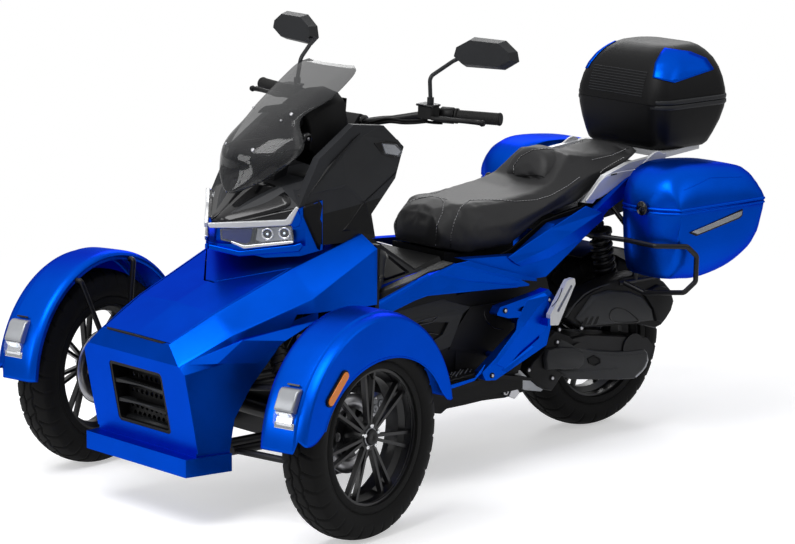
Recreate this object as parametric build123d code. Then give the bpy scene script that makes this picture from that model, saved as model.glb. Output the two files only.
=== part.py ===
"""Motorized trike: two steered front wheels, one driven rear wheel, scooter body and three cases.

Millimetres. While modelling, x runs forward from the front axle, y to the rider's left and z up
from the ground. Every piece is moved forward by AXLE_X when it is written, so that the origin
lies on the ground under the middle of the vehicle.
"""
import math
import os

from build123d import *

# Driving dimensions
AXLE_X = 758.0            # front axle ahead of the origin
WHEELBASE = 1450.0
HALF_TRACK = 596.0        # vehicle's centre plane to the middle of a front tyre
REST_STEER = 12.0         # the wheels and bar are stored turned this far to the left, degrees
GAP = 0.3                 # clearance at pins, seats and touching curved faces
WALL = 4.0                # moulded body panels

# Front wheels
FRONT_R = 292.0
FRONT_WIDTH = 124.0
FRONT_SEAT_R = 190.5
FRONT_LIP_R = 207.0
FRONT_RIM_HALF = 44.5
# Rear wheel
REAR_R = 275.0
REAR_WIDTH = 145.0
REAR_SEAT_R = 178.0
REAR_LIP_R = 195.0
REAR_RIM_HALF = 51.0
# Shared wheel details
FLANGE = 5.0
RIM_WALL = 6.0
HUB_R = 38.0
SPOKE_PAIRS = 7
SPOKE_WIDTH = 9.0
SPOKE_DEPTH = 16.0
DISC_R = 112.0
DISC_THICK = 5.0
AXLE_R = 11.0

# Knuckle: a vertical kingpin inboard of the tyre
KINGPIN_IN = 80.0         # kingpin inboard of the wheel's centre plane
JOINT_UP = 92.0           # ball joints above and below the axle
JOINT_R = 17.0
PIN_R = 7.0
STEER_ARM = 100.0         # kingpin back to the tie rod's eye
RACK_DROP = 34.0          # tie rods below the front axle
ROD_R = 9.0

# Fender, about the wheel's own axle
FENDER_R = 352.0
FENDER_EDGE_R = 338.0
FENDER_HALF = 76.0
FENDER_THICK = 5.0
FENDER_FROM = 3.0         # degrees above straight ahead
FENDER_TO = 171.0
ARCH_X = -20.0            # centre and half axes of the skirt's wheel opening
ARCH_HALF_X = 282.0
ARCH_HALF_Z = 222.0
SKIRT_R = 196.0
LAMP_ANGLE = 23.0
LAMP_IN = -26.0
LAMP_OUT = 38.0

# Steering column and bar
COLUMN_X = -450.0
COLUMN_Z = 1040.0
COLUMN_RAKE = 8.0
BAR_R = 11.0
GRIP_R = 17.0
BAR_END = (-627.0, 440.0, 1094.0)

FRONT = (0.0, HALF_TRACK, FRONT_R)
REAR = (-WHEELBASE, 0.0, REAR_R)


# Building blocks


def face_of(points):
    """Flat face inside a closed outline of 3-D points."""
    return make_face(Polyline(*points, close=True))


def rounded(face, radius):
    return fillet(face.vertices(), radius) if radius else face


def prism_y(outline, y0, y1, radius=0.0):
    """Side outline of (x, z) points, filled from y0 to y1."""
    face = rounded(face_of([(x, y0, z) for x, z in outline]), radius)
    return extrude(face, amount=y1 - y0, dir=(0, 1, 0))


def prism_z(outline, z0, z1, radius=0.0):
    """Plan outline of (x, y) points, filled from z0 to z1."""
    face = rounded(face_of([(x, y, z0) for x, y in outline]), radius)
    return extrude(face, amount=z1 - z0, dir=(0, 0, 1))


def prism_x(outline, x0, x1, radius=0.0):
    """Cross-section of (y, z) points, filled from x0 to x1."""
    face = rounded(face_of([(x0, y, z) for y, z in outline]), radius)
    return extrude(face, amount=x1 - x0, dir=(1, 0, 0))


def skin(sections):
    """Straight-sided loft through closed outlines of 3-D points."""
    return loft([face_of(s) for s in sections], ruled=True)


def both(half):
    """(y, z) points of the left half, top to bottom, closed over the centre plane."""
    return list(half) + [(-y, z) for y, z in reversed(half) if y > 0]


def both_sides(half):
    """(x, y) points of the left half, closed over the centre plane."""
    return list(half) + [(x, -y) for x, y in reversed(half)]


def body_loft(stations):
    """Loft of symmetric cross-sections; a station is x and the left half's (y, z) points."""
    return skin([[(x, y, z) for y, z in both(half)] for x, half in stations])


def rod(start, end, radius):
    """Round bar between two points."""
    direction = Vector(*end) - Vector(*start)
    plane = Plane(origin=start, z_dir=direction)
    return extrude(plane * Circle(radius), amount=direction.length)


def tube(points, radius, bend):
    """Round bar along straight runs joined by arcs."""
    path = FilletPolyline(*points, radius=bend)
    start = Plane(origin=path @ 0, z_dir=path % 0)
    return sweep(start * Circle(radius), path=path)


def ring(axis_at, y0, y1, outer, inner):
    """Annulus about a line along y."""
    x, z = axis_at
    plane = Plane(origin=(x, y0, z), x_dir=(1, 0, 0), z_dir=(0, 1, 0))
    return extrude(plane * (Circle(outer) - Circle(inner)), amount=y1 - y0)


def disc_y(axis_at, y0, y1, radius):
    x, z = axis_at
    plane = Plane(origin=(x, y0, z), x_dir=(1, 0, 0), z_dir=(0, 1, 0))
    return extrude(plane * Circle(radius), amount=y1 - y0)


def mirrored(shape):
    return mirror(shape, about=Plane.XZ)


def pair(shape):
    return [shape, mirrored(shape)]


def group(*shapes):
    """Separate solids that share a node."""
    flat = []
    for shape in shapes:
        for item in shape if isinstance(shape, (list, tuple)) else [shape]:
            flat.extend(item.solids())
    return Compound(children=flat)


def fused(shapes):
    first, *rest = shapes
    return first.fuse(*rest) if rest else first


# Wheels, made about their own centre with +y outboard


def tyre(radius, width, seat_r, lip_r, rim_half):
    """Tyre with straight beads between the flanges, round side walls and a round tread."""
    bead = rim_half - GAP
    crown = width * 0.38
    shoulder_r = radius - width * 0.10
    wall_r = lip_r + (radius - lip_r) * 0.42
    edges = [
        Line((0, -bead, seat_r), (0, -bead, lip_r)),
        ThreePointArc((0, -bead, lip_r), (0, -width / 2, wall_r), (0, -crown, shoulder_r)),
        ThreePointArc((0, -crown, shoulder_r), (0, 0, radius), (0, crown, shoulder_r)),
        ThreePointArc((0, crown, shoulder_r), (0, width / 2, wall_r), (0, bead, lip_r)),
        Line((0, bead, lip_r), (0, bead, seat_r)),
        Line((0, bead, seat_r), (0, -bead, seat_r)),
    ]
    return revolve(make_face(edges), axis=Axis.Y)


def rim(seat_r, lip_r, rim_half, hub_in, hub_out, bore_to, spoke_y):
    """Cast wheel: flanged barrel, hub, pairs of thin spokes and the brake disc on the hub's inner end."""
    outer = seat_r - GAP
    edge = rim_half + FLANGE
    well = outer - 16
    inner = well - RIM_WALL
    barrel = revolve(
        face_of(
            [
                (0, y, r)
                for y, r in [
                    (-edge, lip_r), (-rim_half, lip_r), (-rim_half, outer), (-rim_half * 0.55, outer),
                    (-rim_half * 0.4, well), (rim_half * 0.1, well), (rim_half * 0.35, outer),
                    (rim_half, outer), (rim_half, lip_r), (edge, lip_r), (edge, outer - RIM_WALL),
                    (rim_half * 0.4, outer - RIM_WALL), (rim_half * 0.15, inner),
                    (-rim_half * 0.45, inner), (-rim_half * 0.6, outer - RIM_WALL),
                    (-edge, outer - RIM_WALL),
                ]
            ]
        ),
        axis=Axis.Y,
    )
    hub = disc_y((0, 0), hub_in, hub_out, HUB_R)
    reach = outer - RIM_WALL / 2
    spokes = []
    for i in range(SPOKE_PAIRS):
        for side in (-1, 1):
            foot, tip = side * 5.0, side * 21.0
            half = SPOKE_WIDTH / 2
            blade = face_of(
                [
                    (foot - half, spoke_y, HUB_R - 6), (foot + half, spoke_y, HUB_R - 6),
                    (tip + half, spoke_y, reach), (tip - half, spoke_y, reach),
                ]
            )
            blade = extrude(blade, amount=SPOKE_DEPTH, dir=(0, 1, 0))
            spokes.append(blade.rotate(Axis.Y, 360 / SPOKE_PAIRS * i))
    brake = disc_y((0, 0), hub_in - DISC_THICK, hub_in, DISC_R)
    slots = [disc_y(arc_point(DISC_R * 0.55, 60 * i), hub_in - DISC_THICK - 1, hub_in + 1, 14)
             for i in range(6)]
    wheel = fused([barrel, hub, *spokes, brake]) - slots
    return wheel - disc_y((0, 0), hub_in - DISC_THICK - 1, bore_to, AXLE_R + GAP)


FRONT_HUB_IN = -30.0
FRONT_HUB_OUT = 36.0


def front_wheel():
    return {
        "tyre": tyre(FRONT_R, FRONT_WIDTH, FRONT_SEAT_R, FRONT_LIP_R, FRONT_RIM_HALF),
        "rim": rim(FRONT_SEAT_R, FRONT_LIP_R, FRONT_RIM_HALF, FRONT_HUB_IN, FRONT_HUB_OUT,
                   FRONT_HUB_OUT - 12, 20.0),
    }


REAR_HUB_IN = -44.0
REAR_HUB_OUT = 44.0


def rear_wheel():
    return {
        "tyre": tyre(REAR_R, REAR_WIDTH, REAR_SEAT_R, REAR_LIP_R, REAR_RIM_HALF),
        "rim": rim(REAR_SEAT_R, REAR_LIP_R, REAR_RIM_HALF, REAR_HUB_IN, REAR_HUB_OUT, REAR_HUB_OUT + 1, -8.0),
    }


# Knuckle, about the wheel's centre with +y outboard

PLATE_IN = -KINGPIN_IN - 18
PLATE_OUT = FRONT_HUB_IN - DISC_THICK - 8


def knuckle():
    """Upright with both ball joint bosses, stub axle, caliper, steering arm and fender stay."""
    upright = prism_y([(-24, -JOINT_UP), (24, -JOINT_UP), (30, 0), (24, JOINT_UP), (-24, JOINT_UP),
                       (-34, 0)], PLATE_IN, PLATE_OUT)
    pieces = [upright, rod((0, PLATE_OUT - 1, 0), (0, FRONT_HUB_OUT - 16, 0), AXLE_R)]
    for side in (-1, 1):
        boss = rod((0, -KINGPIN_IN, side * (JOINT_UP - 24)), (0, -KINGPIN_IN, side * (JOINT_UP + 10)),
                   JOINT_R)
        pieces.append(boss)
    arm_z = -RACK_DROP
    arm = prism_z([(0, -KINGPIN_IN - 14), (0, -KINGPIN_IN + 14), (-STEER_ARM, -KINGPIN_IN + 9),
                   (-STEER_ARM, -KINGPIN_IN - 9)], arm_z - 22, arm_z - ROD_R - 5)
    eye = rod((-STEER_ARM, -KINGPIN_IN, arm_z - 22), (-STEER_ARM, -KINGPIN_IN, arm_z - ROD_R - 5), 15)
    pieces += [arm, eye]
    clear = 5.0
    caliper = prism_y([(-60, 34), (-128, 34), (-136, 60), (-112, 96), (-70, 84)], PLATE_OUT - 12, -12)
    slot = disc_y((0, 0), FRONT_HUB_IN - DISC_THICK - clear, FRONT_HUB_IN + clear, DISC_R + clear)
    bridge = prism_y([(-20, 10), (-75, 38), (-75, 66), (-20, 60)], PLATE_OUT - 12, PLATE_OUT)
    pieces += [caliper - slot, bridge]
    stay_y = PLATE_IN + 6
    for side, angle in [(-1, 104), (1, 62)]:
        seat_x, seat_z = arc_point(FENDER_R - 22, angle)
        pieces.append(tube([(side * 24, stay_y + 8, JOINT_UP - 32), (side * 58, stay_y + 4, JOINT_UP + 18),
                            (seat_x, -FENDER_HALF - 16, seat_z), (seat_x, -FENDER_HALF - GAP, seat_z)], 8, 8))
    body = fused(pieces)
    for side in (-1, 1):
        hole = rod((0, -KINGPIN_IN, side * (JOINT_UP - 18)), (0, -KINGPIN_IN, side * (JOINT_UP + 12)),
                   PIN_R + GAP)
        body = body - hole
    return body


def arc_point(radius, angle):
    a = math.radians(angle)
    return radius * math.cos(a), radius * math.sin(a)


FORE_UP = Axis((0, 0, 0), (0, -1, 0))      # turns forward up, then back over the wheel


def fender():
    """Crowned strip over the tyre with a skirt on its outer side, cut by the wheel opening."""
    t = FENDER_THICK
    half = FENDER_HALF
    lip = 34.0
    outer = [(-half, FENDER_R - 10), (-half + 14, FENDER_R), (half - 26, FENDER_R - 3),
             (half, FENDER_EDGE_R), (half, SKIRT_R)]
    inner = [(half - t, SKIRT_R), (half - t, FENDER_EDGE_R - t), (half - 28, FENDER_R - 3 - t),
             (-half + 16, FENDER_R - t), (-half + t, FENDER_R - 10 - t), (-half + t, FENDER_R - lip),
             (-half, FENDER_R - lip)]
    profile = face_of([(r, y, 0) for y, r in outer + inner])
    strip = revolve(profile, axis=FORE_UP, revolution_arc=FENDER_TO - FENDER_FROM)
    strip = strip.rotate(FORE_UP, FENDER_FROM)
    plane = Plane(origin=(ARCH_X, -half, 0), x_dir=(1, 0, 0), z_dir=(0, 1, 0))
    return strip - extrude(plane * Ellipse(ARCH_HALF_X, ARCH_HALF_Z), amount=2 * half + 5)


def fender_lamp():
    """Position lamp at the fender's lower front: a faceted box that follows the crown."""
    foot = FENDER_R - 30
    side = [(foot, -58), (FENDER_R + 15, -58), (FENDER_R + 22, -12), (FENDER_R + 15, 24),
            (FENDER_R + 2, 58), (foot, 58)]
    face = face_of([(r, LAMP_IN, z) for r, z in side])
    block = extrude(face, amount=LAMP_OUT - LAMP_IN, dir=(0, 1, 0))
    return (block - disc_y((0, 0), -90, 90, FENDER_R - 1 + GAP)).rotate(FORE_UP, LAMP_ANGLE)


# Nose


def nose_block(inset=0.0):
    """Solid of the nose: a loft along x trimmed by its side outline; inset, it runs out below."""
    w = inset
    stations = [(x, [(0, crown - w), (edge_y - w, edge_z - w), (side_y - w, side_z - w * 0.6),
                     (flank_y - w, flank_z), (low_y - w, 190)])
                for x, crown, edge_y, edge_z, side_y, side_z, flank_y, flank_z, low_y in NOSE]
    front = [(306 - w, 800), (306 - w, 523), (318 - w, 467), (268 - w, SILL_Z)]
    under = [(160, SILL_Z), (150, 300), (100, 390), (25, 481), (-46, 578), (NOSE_REAR, 572)]
    if inset:
        under = [(268 - w, 180), (-500, 180)]
    return body_loft(stations) & prism_y(front + under + [(under[-1][0], 800)], -400, 400)


# Nose stations: x, crown height, then half width and height of hood edge, shoulder and flank,
# and half width at the sill
NOSE = [
    (345, 500, 150, 500, 205, 452, 228, 440, 226),
    (160, 598, 176, 590, 254, 540, 262, 470, 240),
    (-100, 697, 200, 690, 290, 615, 300, 560, 280),
    (-330, 768, 235, 768, 302, 735, 302, 590, 290),
]
NOSE_REAR = -330.0
SILL_Z = 215.0
HOOD = [(300, 152), (158, 170), (-96, 190), (44, 22)]        # left half, x and y
HOOD_HOLE = [(303, 155), (158.5, 173), (-103, 193.5), (38, 21)]
MOUTH_HALF = 122.0
MOUTH_Z = (250.0, 430.0)
LIP_Z = (151.0, 203.0)


def grown(outline, by):
    """Plan outline about the centre plane, larger by the same distance on every side."""
    mid_x = (max(x for x, y in outline) + min(x for x, y in outline)) / 2
    return [(x + math.copysign(by, x - mid_x), y + math.copysign(by, y)) for x, y in outline]


def nose_shell():
    """Nose body with its hood opening, mouth, lower lip and open underside for the arms."""
    shell = nose_block() - nose_block(WALL)
    shell -= prism_z(both_sides(HOOD_HOLE), 440, 850)
    shell -= prism_x([(-MOUTH_HALF, MOUTH_Z[0]), (MOUTH_HALF, MOUTH_Z[0]), (MOUTH_HALF, MOUTH_Z[1]),
                      (-MOUTH_HALF, MOUTH_Z[1])], 180, 340, radius=14)
    lip = prism_z([(310, -232), (310, 232), (160, 250), (160, -250)], *LIP_Z)
    lip -= prism_z([(250, -215), (250, 215), (150, 232), (150, -232)], LIP_Z[0] - 1, LIP_Z[1] + 1)
    skirt = prism_z([(268, -226), (268, 226), (160, 240), (160, -240)], LIP_Z[1] - 1, SILL_Z + 1)
    skirt -= prism_z([(250, -215), (250, 215), (150, 232), (150, -232)], LIP_Z[0] - 1, SILL_Z + 2)
    return fused([shell, lip, skirt])


def hood_lid():
    block = nose_block()
    sheet = block - block.moved(Location((0, 0, -WALL)))
    return sheet & prism_z(both_sides(HOOD), 440, 850)


TRUNK = (-86.0, 150.0, 138.0, 446.0)    # rear and front x, half width and floor of the front trunk


def front_trunk():
    """Open tub under the hood."""
    rear, front, half, floor = TRUNK
    outer = prism_y([(rear, floor), (front, floor), (front, 590.8), (rear, 682)], -half, half)
    inner = prism_y([(rear + WALL, floor + WALL), (front - WALL, floor + WALL), (front - WALL, 700),
                     (rear + WALL, 700)], -half + WALL, half - WALL)
    return outer - inner


def grille():
    """Deep frame in the mouth with two pointed slats and a mesh behind."""
    half = MOUTH_HALF - GAP
    z0, z1 = MOUTH_Z[0] + GAP, MOUTH_Z[1] - GAP
    outline = [(-half, z0), (half, z0), (half, z1), (-half, z1)]
    block = prism_x(outline, 240, 340, radius=14 - GAP)
    slope = prism_y([(230, z0 - 5), (268 + 5, z0 - 5), (310, z1 + 5), (230, z1 + 5)], -half, half)
    frame = block & slope
    rim_in = 9.0
    frame -= prism_x([(-half + rim_in, z0 + rim_in), (half - rim_in, z0 + rim_in),
                      (half - rim_in, z1 - rim_in), (-half + rim_in, z1 - rim_in)], 246, 345, radius=8)
    slats = []
    for z in (MOUTH_Z[0] + 62, MOUTH_Z[0] + 122):
        slats.append(prism_z([(244, -half + 4), (244, half - 4), (288, half - 4), (262, -half + 4)],
                             z - 4, z + 4))
    body = fused([frame, *slats])
    cells = []
    pitch = 22.0
    for row in range(7):
        for col in range(10):
            y = (col - 4.5) * pitch + (row % 2) * pitch / 2 - pitch / 4
            z = MOUTH_Z[0] + 24 + row * 22
            if abs(y) < half - rim_in - 10 and abs(z - MOUTH_Z[0] - 62) > 10 and abs(z - MOUTH_Z[0] - 122) > 10:
                plane = Plane(origin=(235, y, z), x_dir=(0, 1, 0), z_dir=(1, 0, 0))
                cells.append(extrude(plane * RegularPolygon(8, 6), amount=20))
    return body - cells


# Headlamp and cowl

PROW = [(28, -20), (28, 20), (-125, 206), (-200, 214), (-200, -214), (-125, -206)]


def headlamp():
    """Pointed lamp housing under the cowl, with a recess on each side for the lens."""
    body = prism_z(PROW, 690, 900) & prism_y([(40, 745), (34, 800), (-125, 862), (-205, 878), (-205, 735),
                                              (-60, 716)], -230, 230)
    body -= nose_block().moved(Location((0, 0, GAP)))
    return body - lens_space(0)


def lens_space(inset):
    """Volume of the two lenses: a band behind the prow's faces."""
    band = prism_z([(34 + 20, -6), (34 + 20, 6), (-112, 240), (-150, 200), (6, 12), (6, -12),
                    (-150, -200), (-112, -240)], 752 + inset, 800 - inset)
    keep = prism_z(PROW, 690, 900)
    return band & keep


def headlamp_lens():
    lens = prism_z([(34 + 20, -6), (34 + 20, 6), (-112 + GAP, 240), (-150 + GAP, 200), (6 + GAP, 12),
                    (6 + GAP, -12), (-150 + GAP, -200), (-112 + GAP, -240)], 752 + GAP, 800 - GAP)
    return lens & prism_z(grown(PROW, -1.5), 690, 900)


COWL_SIDE = [(-110, 836), (-145, 900), (-200, 995), (-330, 1080), (-446, 1066), (-520, 998),
             (-480, 910), (-380, 818), (-390, 748), (-167, 748)]


def front_cowl():
    """Charcoal upper body: two wings, the beak over the headlamp and the shelf round the column."""
    full = skin([
        [(-80, -200, 730), (-80, 200, 730), (-80, 190, 1100), (-80, -190, 1100)],
        [(-300, -228, 730), (-300, 228, 730), (-300, 196, 1100), (-300, -196, 1100)],
        [(-530, -222, 730), (-530, 222, 730), (-530, 186, 1100), (-530, -186, 1100)],
    ])
    side = prism_y(COWL_SIDE, -240, 240)
    wings = full & side
    cockpit = prism_y([(-118, 905), (-260, 1120), (-560, 1120), (-560, 915), (-360, 905)], -172, 172)
    wings -= cockpit
    wings -= prism_y([(-560, 884), (-240, 884), (-185, 770), (-185, 730), (-560, 730)], -185, 185)
    beak = skin([
        [(20, -16, 806), (20, 16, 806), (20, 10, 818), (20, -10, 818)],
        [(-125, -198, 864), (-125, 198, 864), (-125, 120, 912), (-125, -120, 912)],
        [(-204, -204, 880), (-204, 204, 880), (-204, 150, 930), (-204, -150, 930)],
    ])
    cowl = fused([wings, beak, *screen_mount()]) - screen_sheet(300, SCREEN_DEPTH + GAP)
    cowl -= headlamp_clear()
    cowl -= nose_block().moved(Location((0, 0, GAP)))
    cowl -= rod(column_point(-230), column_point(60), 36)
    return cowl.solids().sort_by(SortBy.VOLUME)[-1]


def headlamp_clear():
    body = prism_z(grown(PROW, 1.5), 690, 900) & prism_y(
        [(40, 745), (34, 800 + GAP), (-125, 862 + GAP), (-205, 878 + GAP), (-205, 735), (-60, 716)], -230, 230)
    return body


def column_axis():
    a = math.radians(COLUMN_RAKE)
    return Vector(-math.sin(a), 0, math.cos(a))


def column_point(along):
    """Point on the steering axis, along millimetres above its crown."""
    d = column_axis()
    return (COLUMN_X + d.X * along, 0, COLUMN_Z + d.Z * along)


# Windscreen stations: height, then x at the centre, at two thirds and at the edge, and half width
SCREEN = [
    (890, -24, -27, -32, 34),
    (946, -38, -58, -96, 118),
    (1018, -54, -100, -172, 160),
    (1100, -165, -176, -204, 112),
    (1152, -252, -266, -296, 134),
    (1233, -392, -398, -412, 132),
]
SCREEN_DEPTH = 6.0        # along x; the sheet leans, so its own thickness is about 4


def screen_sheet(ahead, behind):
    """Level sections of the screen, from ahead of its face to behind it along x."""
    rows = []
    for z, x_mid, x_third, x_edge, half in SCREEN:
        front = [(x_edge, half), (x_third, half * 0.66), (x_mid, half * 0.2)]
        line = front + [(x, -y) for x, y in reversed(front)]
        rows.append([(x + ahead, y, z) for x, y in line] + [(x - behind, y, z) for x, y in reversed(line)])
    return skin(rows)


def windshield():
    return screen_sheet(0, SCREEN_DEPTH)


def screen_mount():
    """Bracket behind the windscreen: a plate on the cowl with four pads and two side knobs."""
    plate = prism_y([(-140, 895), (-214, 1050), (-292, 1128), (-306, 1118), (-236, 1046), (-190, 895)], -52, 52)
    pads = [rod((x_far, s * y, z), (x_near, s * y, z), 9)
            for x_far, x_near, y, z in [(-226, -40, 50, 1017), (-296, -150, 46, 1109)] for s in (-1, 1)]
    knobs = [rod((-226, s * 50, 1040), (-226, s * 104, 1040), 13) for s in (-1, 1)]
    return [plate, *pads, *knobs]


# Middle body


# Tunnel stations: x, half widths and heights of its top, shoulder, side and foot
TUNNEL = [
    (-343, 150, 742, 205, 570, 205, 330, 195, 262),
    (-430, 150, 738, 205, 570, 205, 330, 195, 262),
    (-615, 140, 618, 205, 565, 205, 350, 195, 262),
    (-722, 128, 640, 205, 545, 205, 372, 195, 262),
]


def tunnel_loft(w, reach):
    rows = [(x, [(ty - w, tz - w), (sy - w, sz), (dy - w, dz), (fy - w, fz - w * 3)])
            for x, ty, tz, sy, sz, dy, dz, fy, fz in TUNNEL]
    rows[0] = (rows[0][0] + reach, rows[0][1])
    rows[-1] = (rows[-1][0] - reach, rows[-1][1])
    return body_loft(rows)


def leg_shield():
    """Panel that closes the nose to the rear, the tunnel over the frame and the lower side fairings."""
    panel = prism_x([(-290, 420), (290, 420), (300, 745), (-300, 745)], NOSE_REAR - 14, NOSE_REAR - GAP)
    panel -= prism_x([(-140, 410), (140, 410), (118, 700), (60, 728), (-60, 728),
                      (-118, 700)], NOSE_REAR - 20, NOSE_REAR)
    tunnel = tunnel_loft(0, 0) - tunnel_loft(WALL, 10)
    tunnel -= prism_y([(-330, 600), (-330, 750), (-470, 750), (-440, 700), (-400, 640)], -60, 60)
    cheek = prism_y([(-721, 534), (-721, 262), (-980, 262), (-1004, 330), (-1036, 440), (-1000, 538)],
                    198, 205)
    return fused([panel, tunnel, *pair(cheek)])


FLOOR_Z = 305.0
FLOOR_OUT = 345.0
SIDE_Y = 205.0            # outer face of the tunnel and the lower side fairings


def floorboards():
    """Tread plates beside the tunnel with raised bars, each over a hollow skirt."""
    inner = SIDE_Y + GAP
    plan = [(-370, inner), (-370, FLOOR_OUT - 15), (-600, FLOOR_OUT), (-690, FLOOR_OUT), (-742, 258),
            (-990, 250), (-990, inner)]
    side = prism_y([(-360, FLOOR_Z), (-760, FLOOR_Z), (-1000, 250), (-1000, 214), (-520, 205), (-360, 240)],
                   inner, FLOOR_OUT + 5)
    block = prism_z(plan, 190, FLOOR_Z + 1) & side
    inside = prism_z(grown(plan, -5), 190, FLOOR_Z + 1)
    inside &= prism_y([(-370, FLOOR_Z - 14), (-755, FLOOR_Z - 14), (-990, 244), (-990, 180), (-370, 180)],
                      inner + 5, FLOOR_OUT + 5)
    bars = [prism_z([(x, 222), (x - 40, 326), (x - 52, 326), (x - 12, 222)], FLOOR_Z - 1, FLOOR_Z + 4)
            for x in range(-430, -640, -34)]
    return group(pair(fused([block - inside, *bars])))


def side_beams():
    """Blue upper side panels that run from the nose to below the seat."""
    side = [(NOSE_REAR - 18, 590), (NOSE_REAR - 18, 532), (-560, 562), (-975, 540), (-905, 575), (-664, 645),
            (-566, 622)]
    beam = prism_y(side, SIDE_Y + GAP, 262, radius=3)
    return group(pair(beam))


def side_braces():
    """Blue seven-shaped braces over the footboard's rear."""
    side = [(-815, 500), (-800, 478), (-850, 462), (-905, 458), (-905, 420), (-745, 312), (-760, 286),
            (-800, 282), (-1005, 360), (-1030, 440), (-1040, 500), (-1010, 530), (-985, 524)]
    brace = prism_y(side, 262.6, 296, radius=5)
    pocket = prism_y([(-865, 484), (-905, 475), (-948, 478), (-975, 502)], 288, 300, radius=4)
    slot = prism_y([(-840, 316), (-975, 385), (-975, 402), (-840, 333)], 288, 300, radius=5)
    holes = [disc_y((x, z), 280, 300, 6) for x, z in [(-835, 487), (-1012, 497), (-785, 298)]]
    posts = [disc_y((x, z), SIDE_Y + GAP, 264, 9) for x, z in [(-950, 430), (-850, 340)]]
    x, y, z = PEG_FOOT
    ear = prism_y([(x + PEG_FRONT + GAP, z - 11), (x + PEG_FRONT + 10, z - 11), (x + PEG_FRONT + 10, z + 11),
                   (x + PEG_FRONT + GAP, z + 11)], 295, y + 9)
    pin = rod((x + PEG_FRONT + 2, y, z), (x - 8, y, z), PEG_PIN_R)
    return group(pair(fused([brace - pocket - slot - holes, *posts, ear, pin])))


TAIL_SIDE_Y = 196.0       # inner face of the tail panels


def tail_panels():
    """Blue rear side panels rising beside the seat."""
    side = [(-720, 646), (-960, 630), (-1095, 708), (-1270, 726), (-1420, 806), (-1520, 838), (-1530, 796),
            (-1330, 724), (-1060, 552), (-985, 552), (-900, 590)]
    wing = prism_y(side, TAIL_SIDE_Y, 232)
    taper = skin([
        [(-700, 190, 500), (-700, 260, 500), (-700, 236, 900), (-700, 190, 900)],
        [(-1200, 150, 500), (-1200, 250, 500), (-1200, 216, 900), (-1200, 150, 900)],
        [(-1560, 120, 500), (-1560, 222, 500), (-1560, 186, 900), (-1560, 120, 900)],
    ])
    return group(pair(wing & taper))


# Seat

# Seat stations: x, bottom half width and height, side half width and height, edge half width and
# height, crown height
SEAT = [
    (-738, 96, 652, 112, 700, 74, 754, 762),
    (-822, 148, 634, 164, 706, 126, 778, 790),
    (-970, 176, 646, 188, 716, 150, 782, 780),
    (-1100, 178, 716, 188, 752, 150, 796, 786),
    (-1175, 170, 730, 180, 778, 136, 812, 806),
    (-1262, 160, 742, 168, 806, 112, 884, 900),
    (-1330, 150, 770, 158, 826, 118, 872, 880),
    (-1440, 142, 812, 148, 842, 112, 862, 856),
    (-1545, 128, 862, 134, 876, 104, 892, 892),
]


def seat_under(x):
    """Height of the seat's underside at x."""
    for (x0, _, z0, *_), (x1, _, z1, *_) in zip(SEAT, SEAT[1:]):
        if x0 >= x >= x1:
            return z0 + (z1 - z0) * (x - x0) / (x1 - x0)


def seat():
    return body_loft([(x, [(0, top), (ey, ez), (sy, sz), (by, bz)]) for x, by, bz, sy, sz, ey, ez, top in SEAT])


BUCKET = (-1030.0, -752.0, 118.0, 460.0)


def seat_bucket():
    """Storage tub under the seat with the rim that the seat closes on."""
    rear, front, half, floor = BUCKET
    rim = [(x, seat_under(x) - GAP) for x in (front, -822, -970, rear)]
    outer = prism_y([(rear, floor), (front, floor), *rim], -half, half)
    inner = prism_y([(rear + WALL, floor + WALL), (front - WALL, floor + WALL), (front - WALL, 700),
                     (rear + WALL, 760)], -half + WALL, half - WALL)
    return outer - inner


# Frame


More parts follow.
